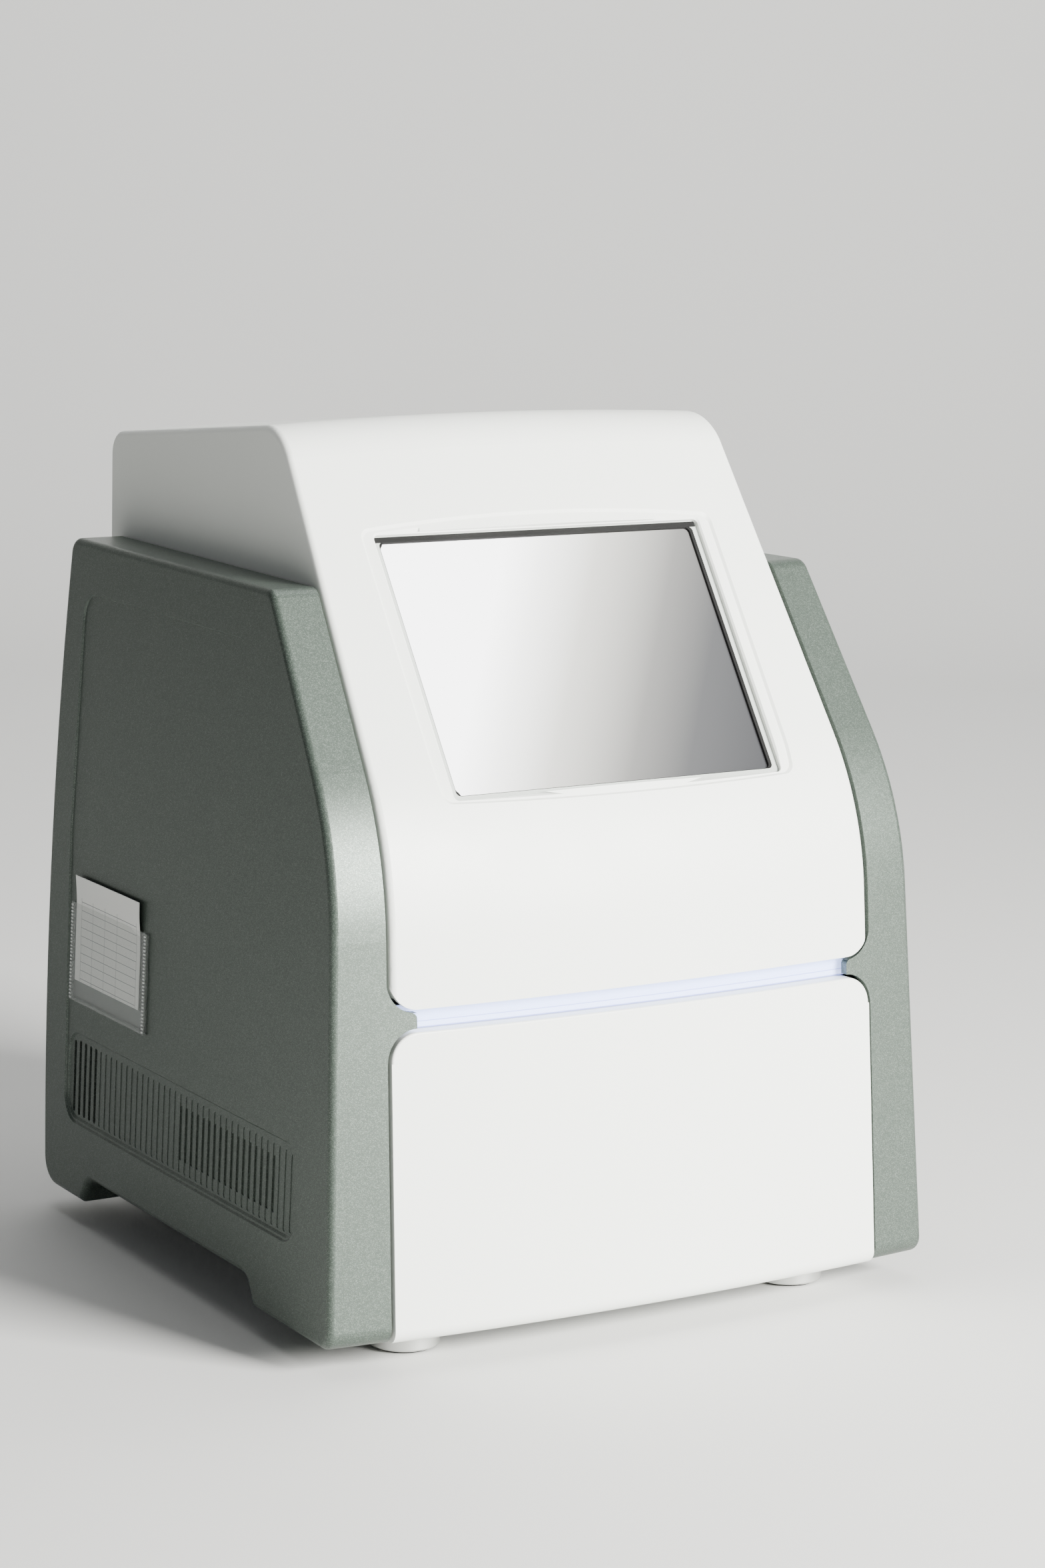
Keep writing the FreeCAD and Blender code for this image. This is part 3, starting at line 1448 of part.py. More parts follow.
def parts():
    """Every node by name."""
    right_cover = right_side_cover()
    return {
        "upper_housing": upper_housing(),
        "left_side_cover": mirrored(right_cover),
        "right_side_cover": right_cover,
        "light_bar": light_bar(),
        "light_carrier": light_carrier(),
        "display_bezel": display_bezel(),
        "display_gasket": display_gasket(),
        "display_glass": display_glass(),
        "display_module": display_module(),
        "display_frame": display_frame(),
        "base_plate": base_plate(),
        "side_frames": side_frames(),
        "deck_plate": deck_plate(),
        "rear_panel": rear_panel(),
        "front_feet": front_feet(),
        "front_foot_pads": front_foot_pads(),
        "rear_feet": rear_feet(),
        "fixed_rails": fixed_rails(),
        "left_middle_rail": mirrored(right_middle_rail()),
        "right_middle_rail": right_middle_rail(),
        "drawer_rails": drawer_rails(),
        "drawer_front": drawer_front(),
        "drawer_back_plate": drawer_back_plate(),
        "drawer_tray": drawer_tray(),
        "drawer_surround": drawer_surround(),
        "sample_block": sample_block(),
        "peltier_modules": peltier_modules(),
        "heat_sink": heat_sink(),
        "lead_screw": lead_screw(),
        "screw_bearing": screw_bearing(),
        "drawer_nut": drawer_nut(),
        "drawer_motor": drawer_motor(),
        "heated_lid": heated_lid(),
        "lid_window": lid_window(),
        "lid_carrier": lid_carrier(),
        "lid_actuators": lid_actuators(),
        "optics_housing": optics_housing(),
        "field_lens": field_lens(),
        "beam_splitter": beam_splitter(),
        "led_unit": led_unit(),
        "filter_wheel": filter_wheel(),
        "optical_filters": optical_filters(),
        "wheel_motor": wheel_motor(),
        "camera_bridge": camera_bridge(),
        "camera_lens": camera_lens(),
        "camera_body": camera_body(),
        "fan_frames": fan_frames(),
        "left_fan_rotor": fan_rotor(-1),
        "right_fan_rotor": fan_rotor(1),
        "power_supply": power_supply(),
        "main_board": main_board(),
        "board_parts": board_parts(),
        "sockets": sockets(),
        "power_inlet": power_inlet(),
        "inlet_pins": inlet_pins(),
        "switch_frame": switch_frame(),
        "switch_rocker": switch_rocker(),
        "document_pouch": document_pouch(),
        "record_card": record_card(),
    }


if __name__ == "__main__":
    os.makedirs("parts", exist_ok=True)
    for name, shape in parts().items():
        b = shape.BoundBox
        print(name, shape.isValid(), len(shape.Solids), round(shape.Volume),
              "x %.1f %.1f y %.1f %.1f z %.1f %.1f" % (b.XMin, b.XMax, b.YMin, b.YMax, b.ZMin, b.ZMax))
        write(name, shape)
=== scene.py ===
# %% [markdown]
# # A bench-top real-time PCR machine
#
# This script gives a packed machine its looks. The CAD pieces come in with their
# real sizes and places, and they stay as they are. Each one gets the material that
# the real piece has. The soft, printed or small things that CAD leaves plain, such
# as the curled record card, its clear pouch and the screws, are modelled here.
#
# We start with the frame and the few modules that the rest uses.

# %% Load the frame
import math

import bpy
from mathutils import Matrix, Vector


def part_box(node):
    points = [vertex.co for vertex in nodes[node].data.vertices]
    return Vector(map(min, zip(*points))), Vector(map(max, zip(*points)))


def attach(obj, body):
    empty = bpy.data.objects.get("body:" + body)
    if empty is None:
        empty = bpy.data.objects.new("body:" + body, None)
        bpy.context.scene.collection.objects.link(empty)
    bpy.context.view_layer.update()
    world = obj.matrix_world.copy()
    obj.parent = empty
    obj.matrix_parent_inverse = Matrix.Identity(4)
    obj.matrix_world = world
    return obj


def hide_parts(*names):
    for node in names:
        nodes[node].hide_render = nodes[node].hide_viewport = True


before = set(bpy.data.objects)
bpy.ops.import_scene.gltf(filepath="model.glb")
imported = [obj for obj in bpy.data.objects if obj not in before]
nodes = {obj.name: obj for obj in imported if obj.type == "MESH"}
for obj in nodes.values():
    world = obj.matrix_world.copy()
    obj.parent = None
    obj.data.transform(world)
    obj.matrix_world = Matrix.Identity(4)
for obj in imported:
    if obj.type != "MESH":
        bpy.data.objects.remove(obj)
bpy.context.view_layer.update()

# %% [markdown]
# The photograph was taken from the front left, a little above the middle. Its
# place, direction and lens were worked out from the machine's mirrored edges, so
# the camera comes first and every later render can be laid over the photograph.
# The camera is tilted by one degree, as the photographer held it.

# %% Camera
camera_place = Vector((-1.2890, -2.0578, 0.6918))
heading = math.radians(32.91)
pitch = math.radians(9.62)
roll = math.radians(-1.009)

ahead = Vector((
    math.sin(heading) * math.cos(pitch),
    math.cos(heading) * math.cos(pitch),
    -math.sin(pitch),
))
level = Vector((math.cos(heading), -math.sin(heading), 0.0))
down = ahead.cross(level)
right = level * math.cos(roll) + down * math.sin(roll)
down = down * math.cos(roll) - level * math.sin(roll)

camera_data = bpy.data.cameras.new("photo_camera")
camera_data.sensor_fit = "AUTO"
camera_data.sensor_width = 36.0
camera_data.lens = 96.05
camera_data.clip_start = 0.05
camera_data.clip_end = 50.0
camera = bpy.data.objects.new("photo_camera", camera_data)
bpy.context.scene.collection.objects.link(camera)
turn = Matrix((right, -down, -ahead)).transposed().to_4x4()
camera.matrix_world = Matrix.Translation(camera_place) @ turn
bpy.context.scene.camera = camera
print("camera at", [round(v, 3) for v in camera.location])

# %% [markdown]
# Colours are written as the familiar sRGB hex codes. Blender's shaders work in
# linear light, so one small function converts them all.

# %% Colours


def colour(code):
    """Linear RGBA from an sRGB hex code."""
    parts = [int(code[i : i + 2], 16) / 255 for i in (1, 3, 5)]
    linear = [c / 12.92 if c <= 0.04045 else ((c + 0.055) / 1.055) ** 2.4 for c in parts]
    return (*linear, 1.0)


print("mid grey is", [round(c, 3) for c in colour("#808080")])

# %% [markdown]
# Every material is a small node tree. The function below adds one node, sets its
# properties and fills its inputs. An input may be a plain value, or another node,
# whose first output is then linked, or a pair of a node and an output's name or
# number. The Mix node has several sockets of the same name, so they are called by
# number, and the numbers get names here.

# %% One function that adds a node
mix_share, mix_low, mix_high = 0, 6, 7  # inputs of a Mix node that mixes colours
mix_colour = 2  # its colour output


def add(tree, kind, inputs=None, **settings):
    """Adds a shader node with its settings, values and links."""
    made = tree.nodes.new("ShaderNode" + kind)
    for name, value in settings.items():
        setattr(made, name, value)
    for name, value in (inputs or {}).items():
        socket = made.inputs[name]
        if isinstance(value, bpy.types.Node):
            tree.links.new(value.outputs[0], socket)
        elif isinstance(value, tuple) and isinstance(value[0], bpy.types.Node):
            tree.links.new(value[0].outputs[value[1]], socket)
        else:
            socket.default_value = value
    return made


def new_material(name):
    """Empty material with an output, and its tree."""
    material = bpy.data.materials.new(name)
    material.use_nodes = True
    tree = material.node_tree
    tree.nodes.clear()
    return material, tree


def finish_material(tree, shader):
    """Links the shader to the material's output."""
    add(tree, "OutputMaterial", {"Surface": shader})


print("node helpers ready")

# %% [markdown]
# The white mouldings are painted ABS. A spark-eroded mould leaves a fine skin on
# them, so we use a small noise as bump, and a slow one that changes the roughness
# a little over the surface. Object coordinates are in metres, so a scale of 1400
# gives grains of about 0.7 mm.

# %% White moulding
mm_per_metre = 1000.0
gloss_patches = 14.0  # per metre, so each is about 70 mm wide


def moulding(name, tone, rough=0.45, grain=0.7, depth=0.02, spread=0.06):
    """Moulded plastic with a fine eroded skin; grain and depth are in millimetres."""
    material, tree = new_material(name)
    place = add(tree, "TexCoord")
    skin = add(tree, "TexNoise", {"Vector": (place, "Object"), "Detail": 3.0,
                                  "Scale": mm_per_metre / grain})
    bump = add(tree, "Bump", {"Height": skin, "Strength": 0.35,
                              "Distance": depth / mm_per_metre})
    slow = add(tree, "TexNoise", {"Vector": (place, "Object"), "Detail": 4.0,
                                  "Scale": gloss_patches})
    worn = add(tree, "MapRange", {"Value": slow, "From Min": 0.3, "From Max": 0.7,
                                  "To Min": rough - spread, "To Max": rough + spread})
    shader = add(tree, "BsdfPrincipled", {"Base Color": colour(tone), "Roughness": worn,
                                          "Normal": bump})
    finish_material(tree, shader)
    return material


white_moulding = moulding("white_painted_abs", "#eef1ec", rough=0.4)
bezel_grey = moulding("grey_moulded_abs", "#b9beb9", rough=0.5)
black_moulding = moulding("black_moulded_abs", "#17181a", rough=0.5, grain=0.5)
surround_grey = moulding("dark_grey_moulded_abs", "#4a4e50", rough=0.48, grain=0.8)
acetal = moulding("white_acetal", "#e2dfd3", rough=0.38, grain=1.2, depth=0.01)
print("white moulding and its relatives made")

# %% [markdown]
# The side covers carry a metallic paint. Small aluminium flakes lie in it at
# slightly different angles, and each catches the light on its own. Real flakes
# are about 0.05 mm, too fine to show, so they are drawn as 0.35 mm cells of a
# Voronoi pattern. Every cell gets a random tone and a random gloss, and a fine
# clear coat lies over them.

# %% Metallic paint
dull_flakes = 0.6  # share of the flakes that keep the paint's own tone


def flake_paint(name, tone, flake_tone, flake=0.35):
    """Metallic lacquer with flakes of the given size in millimetres."""
    material, tree = new_material(name)
    place = add(tree, "TexCoord")
    cells = add(tree, "TexVoronoi", {"Vector": (place, "Object"), "Scale": mm_per_metre / flake})
    chance = add(tree, "SeparateColor", {"Color": (cells, "Color")})
    glint = add(tree, "MapRange", {"Value": (chance, "Red"), "From Min": dull_flakes,
                                   "From Max": 1.0})
    blend = add(tree, "Mix", {mix_share: glint, mix_low: colour(tone),
                              mix_high: colour(flake_tone)}, data_type="RGBA")
    gloss = add(tree, "MapRange", {"Value": (chance, "Green"), "To Min": 0.36, "To Max": 0.48})
    shader = add(tree, "BsdfPrincipled", {"Base Color": (blend, mix_colour), "Metallic": 0.45,
                                          "Roughness": gloss, "Coat Weight": 0.12,
                                          "Coat Roughness": 0.35})
    finish_material(tree, shader)
    return material


cover_paint = flake_paint("grey_green_metallic_lacquer", "#465049", "#6b746d")
print("metallic paint made")

# %% [markdown]
# Bare metals differ mainly in how they were worked. Sheet and rolled parts have a
# fine grain along one axis, so the noise is stretched along it: a small scale on
# an axis makes long lines that way. Blasted or cast parts have an even, matt skin,
# so there the noise is the same in all directions.

# %% Metals
gloss_change = 0.07  # how far the roughness of a metal swings about its middle


def metal(name, tone, rough=0.35, stretch=(1.0, 1.0, 1.0), grain=0.6, depth=0.01):
    """Bare or plated metal; grain and depth are in millimetres."""
    material, tree = new_material(name)
    place = add(tree, "TexCoord")
    drawn = add(tree, "Mapping", {"Vector": (place, "Object"), "Scale": stretch})
    lines = add(tree, "TexNoise", {"Vector": drawn, "Detail": 4.0,
                                   "Scale": mm_per_metre / grain})
    bump = add(tree, "Bump", {"Height": lines, "Strength": 0.3,
                              "Distance": depth / mm_per_metre})
    gloss = add(tree, "MapRange", {"Value": lines, "From Min": 0.3, "From Max": 0.7,
                                   "To Min": rough - gloss_change,
                                   "To Max": rough + gloss_change})
    shader = add(tree, "BsdfPrincipled", {"Base Color": colour(tone), "Metallic": 1.0,
                                          "Roughness": gloss, "Normal": bump})
    finish_material(tree, shader)
    return material


blasted_aluminium = metal("bead_blasted_aluminium", "#d2d3d1", rough=0.42, grain=0.3, depth=0.02)
machined_aluminium = metal("machined_aluminium", "#cfd1d2", rough=0.28,
                           stretch=(0.05, 1.0, 1.0), grain=0.4)
extruded_aluminium = metal("extruded_aluminium", "#c2c5c8", rough=0.34,
                           stretch=(1.0, 0.03, 1.0), grain=0.5)
black_anodised = metal("black_anodised_aluminium", "#26272a", rough=0.4, grain=0.4)
zinc_sheet = metal("zinc_plated_sheet", "#b9bdc2", rough=0.36,
                   stretch=(1.0, 0.08, 1.0), grain=0.9)
rolled_steel = metal("rolled_runner_steel", "#c4c6c9", rough=0.25,
                     stretch=(1.0, 0.02, 1.0), grain=0.5)
nickel = metal("nickel_plate", "#cfcabd", rough=0.2, grain=0.8, depth=0.004)
print("metals made")

# %% [markdown]
# Rubber and foam scatter nearly all light, so they are rough and very dark. The
# ceramic is a matt white, and the board and the motors have a smooth lacquer. All
# of them are even skins with a fine grain, so the moulding's function makes them
# too, with another tone, gloss and grain.

# %% Rubber, ceramic and board
foot_rubber = moulding("black_foot_rubber", "#141414", rough=0.75, grain=0.9, depth=0.05)
# This black serves the real foam and also the painted shadow strip under the display's top bezel.
black_foam_and_shadow = moulding("black_foam_and_painted_shadow", "#050505", rough=0.9, grain=0.6, depth=0.1)
alumina = moulding("white_alumina_ceramic", "#e4e2da", rough=0.55, grain=0.4)
solder_resist = moulding("green_solder_resist", "#1d5a38", rough=0.25, grain=1.5)
motor_enamel = moulding("black_motor_enamel", "#1a1b1d", rough=0.35, grain=0.9)
rear_paint = moulding("grey_powder_coat", "#7c827c", rough=0.55, grain=1.1, depth=0.06)
print("rubber, ceramic, enamel and board made")

# %% [markdown]
# Clear parts: the optics are coated glass. The display's cover is etched glass
# that scatters what it mirrors. Its reflection of the room is painted: a soft
# change from white at the upper left to dark grey at the lower right, which we
# paint along the glass with object coordinates as a glow.

# %% Glass
glass_half = 0.109  # half the display glass's width
glass_foot, glass_head = 0.305, 0.437  # heights of its lower and upper edge
reflection_slant = 0.42  # how far the tones move over from the foot to the head


def clear_glass(name, tone, rough=0.02):
    """Coated glass that light passes through."""
    material, tree = new_material(name)
    shader = add(tree, "BsdfPrincipled", {"Base Color": colour(tone), "Roughness": rough,
                                          "Transmission Weight": 1.0, "IOR": 1.5})
    finish_material(tree, shader)
    return material


coated_glass = clear_glass("coated_optical_glass", "#eef4f6")
filter_glass = clear_glass("interference_filter_glass", "#c58ad0", rough=0.01)


def display_glass_painted_reflection():
    """Anti-glare glass with a painted reflection, a glow whose tone changes across and down the
    screen.
    """
    material, tree = new_material("display_glass_painted_reflection")
    place = add(tree, "TexCoord")
    axes = add(tree, "SeparateXYZ", {"Vector": (place, "Object")})
    across = add(tree, "MapRange", {"Value": (axes, "X"), "From Min": -glass_half,
                                    "From Max": glass_half})
    upwards = add(tree, "MapRange", {"Value": (axes, "Z"), "From Min": glass_foot,
                                     "From Max": glass_head})
    slant = add(tree, "Math", {0: upwards, 1: reflection_slant}, operation="MULTIPLY")
    along = add(tree, "Math", {0: across, 1: slant}, operation="SUBTRACT")
    # The ramp's tones are a painted reflection of the room's light, sent out as glow.
    ramp = add(tree, "ValToRGB", {"Fac": along})
    stops = ramp.color_ramp.elements
    stops[0].position, stops[0].color = 0.0, colour("#ffffff")
    stops[1].position, stops[1].color = 0.95, colour("#212122")
    for share, tone in ((0.12, "#d8d8d5"), (0.29, "#a09f99"), (0.54, "#5e5d5a"), (0.72, "#363636")):
        stops.new(share).color = colour(tone)
    grain = add(tree, "TexNoise", {"Vector": (place, "Object"), "Scale": 2500.0, "Detail": 2.0})
    bump = add(tree, "Bump", {"Height": grain, "Strength": 0.3, "Distance": 0.00001})
    shader = add(tree, "BsdfPrincipled", {"Base Color": colour("#2b2c2e"), "Roughness": 0.3,
                                          "Normal": bump, "Emission Color": ramp,
                                          "Emission Strength": 6.0})
    finish_material(tree, shader)
    return material


display_glass = display_glass_painted_reflection()
print("glass made")

# %% [markdown]
# The strip in the gap is a milky light guide. It glows pale lavender. A thin
# darker line runs along it near its lower edge, where two mouldings meet, so the
# tone changes in steps with height.

# %% Light guide
guide_foot, guide_head = 0.1848, 0.1968  # heights of the strip's lower and upper edge


def light_guide():
    """Milky acrylic, lit from within, with a darker line along its foot."""
    material, tree = new_material("milky_light_guide")
    place = add(tree, "TexCoord")
    axes = add(tree, "SeparateXYZ", {"Vector": (place, "Object")})
    rise = add(tree, "MapRange", {"Value": (axes, "Z"), "From Min": guide_foot,
                                  "From Max": guide_head})
    ramp = add(tree, "ValToRGB", {"Fac": rise})
    ramp.color_ramp.interpolation = "CONSTANT"
    stops = ramp.color_ramp.elements
    stops[0].position, stops[0].color = 0.0, colour("#8791c8")
    stops[1].position, stops[1].color = 0.05, colour("#bccaf6")
    for share, tone in ((0.27, "#8f9ad6"), (0.31, "#b8c7f6")):
        stops.new(share).color = colour(tone)
    shader = add(tree, "BsdfPrincipled", {"Base Color": ramp, "Roughness": 0.4,
                                          "Emission Color": ramp, "Emission Strength": 2.0,
                                          "Subsurface Weight": 0.2,
                                          "Subsurface Radius": (0.004, 0.004, 0.005)})
    finish_material(tree, shader)
    return material


strip_light = light_guide()
print("light guide made")

# %% [markdown]
# Now each CAD node gets its material. A table says which nodes are made of what,
# as a parts list does, and one loop hands the materials out.

# %% Dress the CAD nodes
wardrobe = {
    white_moulding: ["upper_housing", "drawer_front"],
    cover_paint: ["left_side_cover", "right_side_cover"],
    strip_light: ["light_bar"],
    bezel_grey: ["display_bezel"],
    black_foam_and_shadow: ["display_gasket"],
    display_glass: ["display_glass"],
    black_moulding: ["light_carrier", "display_module", "optics_housing", "fan_frames",
                     "left_fan_rotor", "right_fan_rotor", "board_parts", "power_inlet",
                     "switch_frame", "switch_rocker"],
    zinc_sheet: ["display_frame", "base_plate", "side_frames", "deck_plate",
                 "drawer_back_plate", "drawer_tray", "power_supply"],
    rear_paint: ["rear_panel"],
    blasted_aluminium: ["front_feet"],
    foot_rubber: ["front_foot_pads", "rear_feet"],
    rolled_steel: ["fixed_rails", "left_middle_rail", "right_middle_rail", "drawer_rails",
                   "lead_screw"],
    surround_grey: ["drawer_surround"],
    machined_aluminium: ["sample_block", "screw_bearing", "heated_lid", "lid_carrier"],
    alumina: ["peltier_modules"],
    extruded_aluminium: ["heat_sink"],
    acetal: ["drawer_nut"],
    motor_enamel: ["drawer_motor", "lid_actuators", "wheel_motor", "camera_lens"],
    coated_glass: ["lid_window", "field_lens", "beam_splitter"],
    black_anodised: ["led_unit", "filter_wheel", "camera_bridge", "camera_body"],
    filter_glass: ["optical_filters"],
    solder_resist: ["main_board"],
    nickel: ["sockets", "inlet_pins"],
}
dressed = 0
for material, names in wardrobe.items():
    for name in names:
        for material_slot in nodes[name].material_slots:
            material_slot.material = material
        dressed += 1
print(dressed, "nodes dressed")

# %% [markdown]
# The record card and its clear pouch hang on the left cover. The cover leans
# inwards and closes in to the rear by a few degrees, so both pieces are modelled
# flat, in the plane of X 0, and then laid against the cover. Their places come
# from the boxes of the CAD nodes that they stand for.

# %% Laying a flat piece on the left cover
cover_lean = math.radians(1.965)
cover_taper = math.radians(3.95)


def middle_of(name):
    """Middle of a CAD node's box."""
    low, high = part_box(name)
    return (Vector(low) + Vector(high)) / 2


def apply_place(piece):
    """Puts an object's place into its mesh, so that the object is at the origin."""
    bpy.ops.object.select_all(action="DESELECT")
    piece.select_set(True)
    bpy.context.view_layer.objects.active = piece
    bpy.ops.object.transform_apply(location=True, rotation=True, scale=True)


def lay_on_cover(piece, place):
    """Turns a flat piece to the cover's slant and moves it to its place."""
    tilt = Matrix.Rotation(cover_lean, 4, "Y") @ Matrix.Rotation(-cover_taper, 4, "Z")
    piece.matrix_world = Matrix.Translation(place) @ tilt
    apply_place(piece)


pouch_place = middle_of("document_pouch")
card_place = middle_of("record_card")
print("pouch at", [round(v, 4) for v in pouch_place], "card at", [round(v, 4) for v in card_place])

# %% [markdown]
# The card is stiff white paper, printed with a table. No words are set in it, so
# the table is only ruled. The rows and columns are thin bands of object height and
# depth. Where both tests of the table's edge hold, the lines are kept.

# %% Card paper
row_height = 0.0052
row_line_share = 0.07  # part of a row's height that its line takes
column_places = (-0.041, -0.012, 0.006, 0.024, 0.041)  # from the card's middle
column_line_half = 0.00016
table_top = 0.019  # above the card's middle
table_half = 0.0412


def ruled_paper():
    """White card with faint grey ruling and no words."""
    material, tree = new_material("ruled_white_card")
    place = add(tree, "TexCoord")
    axes = add(tree, "SeparateXYZ", {"Vector": (place, "Object")})
    step = add(tree, "Math", {0: (axes, "Z"), 1: row_height}, operation="DIVIDE")
    part = add(tree, "Math", {0: step}, operation="FRACT")
    lines = add(tree, "Math", {0: part, 1: row_line_share}, operation="LESS_THAN")
    for offset in column_places:
        column = add(tree, "Math", {0: (axes, "Y"), 1: card_place.y + offset,
                                    2: column_line_half}, operation="COMPARE")
        lines = add(tree, "Math", {0: lines, 1: column}, operation="MAXIMUM")
    top = add(tree, "Math", {0: (axes, "Z"), 1: card_place.z + table_top},
              operation="LESS_THAN")
    side = add(tree, "Math", {0: (axes, "Y"), 1: card_place.y, 2: table_half},
               operation="COMPARE")
    for edge in (top, side):
        lines = add(tree, "Math", {0: lines, 1: edge}, operation="MULTIPLY")
    tone = add(tree, "Mix", {mix_share: lines, mix_low: colour("#f4f5f1"),
                             mix_high: colour("#7d8285")}, data_type="RGBA")
    shader = add(tree, "BsdfPrincipled", {"Base Color": (tone, mix_colour), "Roughness": 0.6})
    finish_material(tree, shader)
    return material


card_paper = ruled_paper()
print("card paper made")

# %% [markdown]
# The free top of the card has curled away from the cover. We start with a plane
# as wide as the card and as high as the part in the pouch, and extrude its top
# edge in short steps that lean outwards more and more. An edge is picked by where
# its two ends are.

# %% Record card
card_half = 0.0475
card_foot = -0.032  # from the card's middle
card_bend = 0.012  # where the curl starts
same_place = 0.0001  # closer than this counts as the same place
curl_steps = 5
curl_rise = 0.004
curl_lean = -0.0001  # outwards in the first step
curl_growth = -0.00008  # more with each further step


def select_edges(piece, wanted):
    """Selects the edges whose two ends both pass the test, and nothing else."""
    bpy.ops.object.mode_set(mode="EDIT")
    bpy.ops.mesh.select_mode(type="EDGE")
    bpy.ops.mesh.select_all(action="DESELECT")
    bpy.ops.object.mode_set(mode="OBJECT")
    for edge in piece.data.edges:
        edge.select = all(wanted(piece.data.vertices[i].co) for i in edge.vertices)
    bpy.ops.object.mode_set(mode="EDIT")


bpy.ops.object.select_all(action="DESELECT")
bpy.ops.mesh.primitive_plane_add(size=1.0, rotation=(0.0, math.radians(90.0), 0.0))
card = bpy.context.object
card.name = "curled_record_card"
card.dimensions = (card_bend - card_foot, 2 * card_half, 0.0)
card.location = (0.0, 0.0, (card_bend + card_foot) / 2)
apply_place(card)
select_edges(card, lambda end: end.z > card_bend - same_place)
for step in range(curl_steps):
    outwards = curl_lean + curl_growth * step
    bpy.ops.mesh.extrude_region_move(
        TRANSFORM_OT_translate={"value": (outwards, 0.0, curl_rise)})
bpy.ops.object.mode_set(mode="OBJECT")
print("card has", len(card.data.vertices), "corners")

# %% [markdown]
# The sheet is thickened about its middle plane, so that it stays in the pouch.
# Its front edge is pulled out a little above the pouch, as paper does when one
# side of a sleeve holds it and the other doesn't. Proportional editing lets the
# neighbours follow it.

# %% Card thickness and place
loose_edge_height = 0.022
edge_pull = -0.0009
pull_reach = 0.016
paper_thickness = 0.00035
card_shift = Vector((0.0, 0.0015, 0.0))  # the card stands a little to the rear in its pouch

bpy.ops.object.mode_set(mode="EDIT")
bpy.ops.mesh.select_all(action="SELECT")
bpy.ops.mesh.subdivide(number_cuts=3)
bpy.ops.mesh.select_all(action="DESELECT")
bpy.ops.object.mode_set(mode="OBJECT")
edge_place = Vector((0.0, -card_half, loose_edge_height))
nearest = min(card.data.vertices, key=lambda v: (v.co - edge_place).length)
nearest.select = True
bpy.ops.object.mode_set(mode="EDIT")
bpy.ops.mesh.select_mode(type="VERT")
bpy.ops.transform.translate(value=(edge_pull, 0.0, 0.0), use_proportional_edit=True,
                            proportional_edit_falloff="SMOOTH", proportional_size=pull_reach)
bpy.ops.object.mode_set(mode="OBJECT")
thick = card.modifiers.new("thickness", "SOLIDIFY")
thick.thickness = paper_thickness
thick.offset = 0.0
bpy.ops.object.modifier_apply(modifier=thick.name)
bpy.ops.object.shade_smooth_by_angle(angle=math.radians(40.0))
lay_on_cover(card, card_place + card_shift)
card.data.materials.append(card_paper)
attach(card, "card")
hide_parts("record_card")
print("card laid in its pouch")

# %% [markdown]
# The pouch is two sheets of clear vinyl, joined along three sides. Vinyl this thin
# hardly tints what lies behind it and shows by its gloss, so it is mostly alpha.
# The welds are pressed flat and milky, so they cover more. Every part of the pouch
# starts as a thin block with softened edges, laid flat.

# %% Clear vinyl


def clear_film(name, tone, share):
    """Thin clear sheet: what lies behind shows through but for a faint gloss."""
    material, tree = new_material(name)
    shader = add(tree, "BsdfPrincipled", {"Base Color": colour(tone), "Roughness": 0.18,
                                          "Alpha": share, "IOR": 1.5})
    finish_material(tree, shader)
    return material


vinyl = clear_film("clear_vinyl_sheet", "#c9cecb", 0.16)
seam_vinyl = clear_film("welded_seam_vinyl", "#8b928d", 0.45)
thread = moulding("white_seam_thread", "#eceeec", rough=0.6, grain=0.3)


def flat_block(name, size, place):
    """Block of the given size with softened edges, as a start for thin pieces."""
    bpy.ops.object.select_all(action="DESELECT")
    bpy.ops.mesh.primitive_cube_add(size=1.0)
    block = bpy.context.object
    block.name = name
    block.dimensions = size
    block.location = place
    apply_place(block)
    bpy.ops.object.mode_set(mode="EDIT")
    bpy.ops.mesh.select_all(action="SELECT")
    bpy.ops.mesh.bevel(offset=min(size) * 0.3, segments=2, affect="EDGES")
    bpy.ops.object.mode_set(mode="OBJECT")
    return block


def finish_on_pouch(piece, material):
    """Lays a part of the pouch on the cover and gives it its material."""
    lay_on_cover(piece, pouch_place)
    piece.data.materials.append(material)
    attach(piece, "chassis")
    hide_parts("document_pouch")


print("vinyl and its block helper ready")

# %% [markdown]
# A front and a back sheet of the same size leave room for the card between them.
# One seam closes them below and one on each side, and the top stays open. Sizes
# are given as thickness, width along the cover, and height.

# %% Pouch sheets and seams
sheet_width = 0.111
sheet_height = 0.060
foot_seam_place = -0.0289  # from the pouch's middle
side_seam_place = 0.0539

front_sheet = flat_block("pouch_front_sheet", (0.0004, sheet_width, sheet_height),
                         (-0.0008, 0.0, 0.0))
back_sheet = flat_block("pouch_back_sheet", (0.0003, sheet_width, sheet_height),
                        (0.0009, 0.0, 0.0))
foot_seam = flat_block("pouch_foot_seam", (0.0018, sheet_width, 0.0022),
                       (0.0, 0.0, foot_seam_place))
for piece, material in ((front_sheet, vinyl), (back_sheet, vinyl), (foot_seam, seam_vinyl)):
    finish_on_pouch(piece, material)
for side in (-1, 1):
    seam = flat_block("pouch_side_seam", (0.0019, 0.0028, sheet_height),
                      (0.0, side * side_seam_place, 0.0))
    finish_on_pouch(seam, seam_vinyl)
print("pouch sheets and seams made")

# %% [markdown]
# Each side seam has a row of small stitches that catch the light. They are all
# alike, so one stitch is modelled at the foot and an array repeats it upwards.

# %% Pouch stitches
first_stitch = -0.0285  # from the pouch's middle
stitch_step = 0.0021
stitch_count = 28

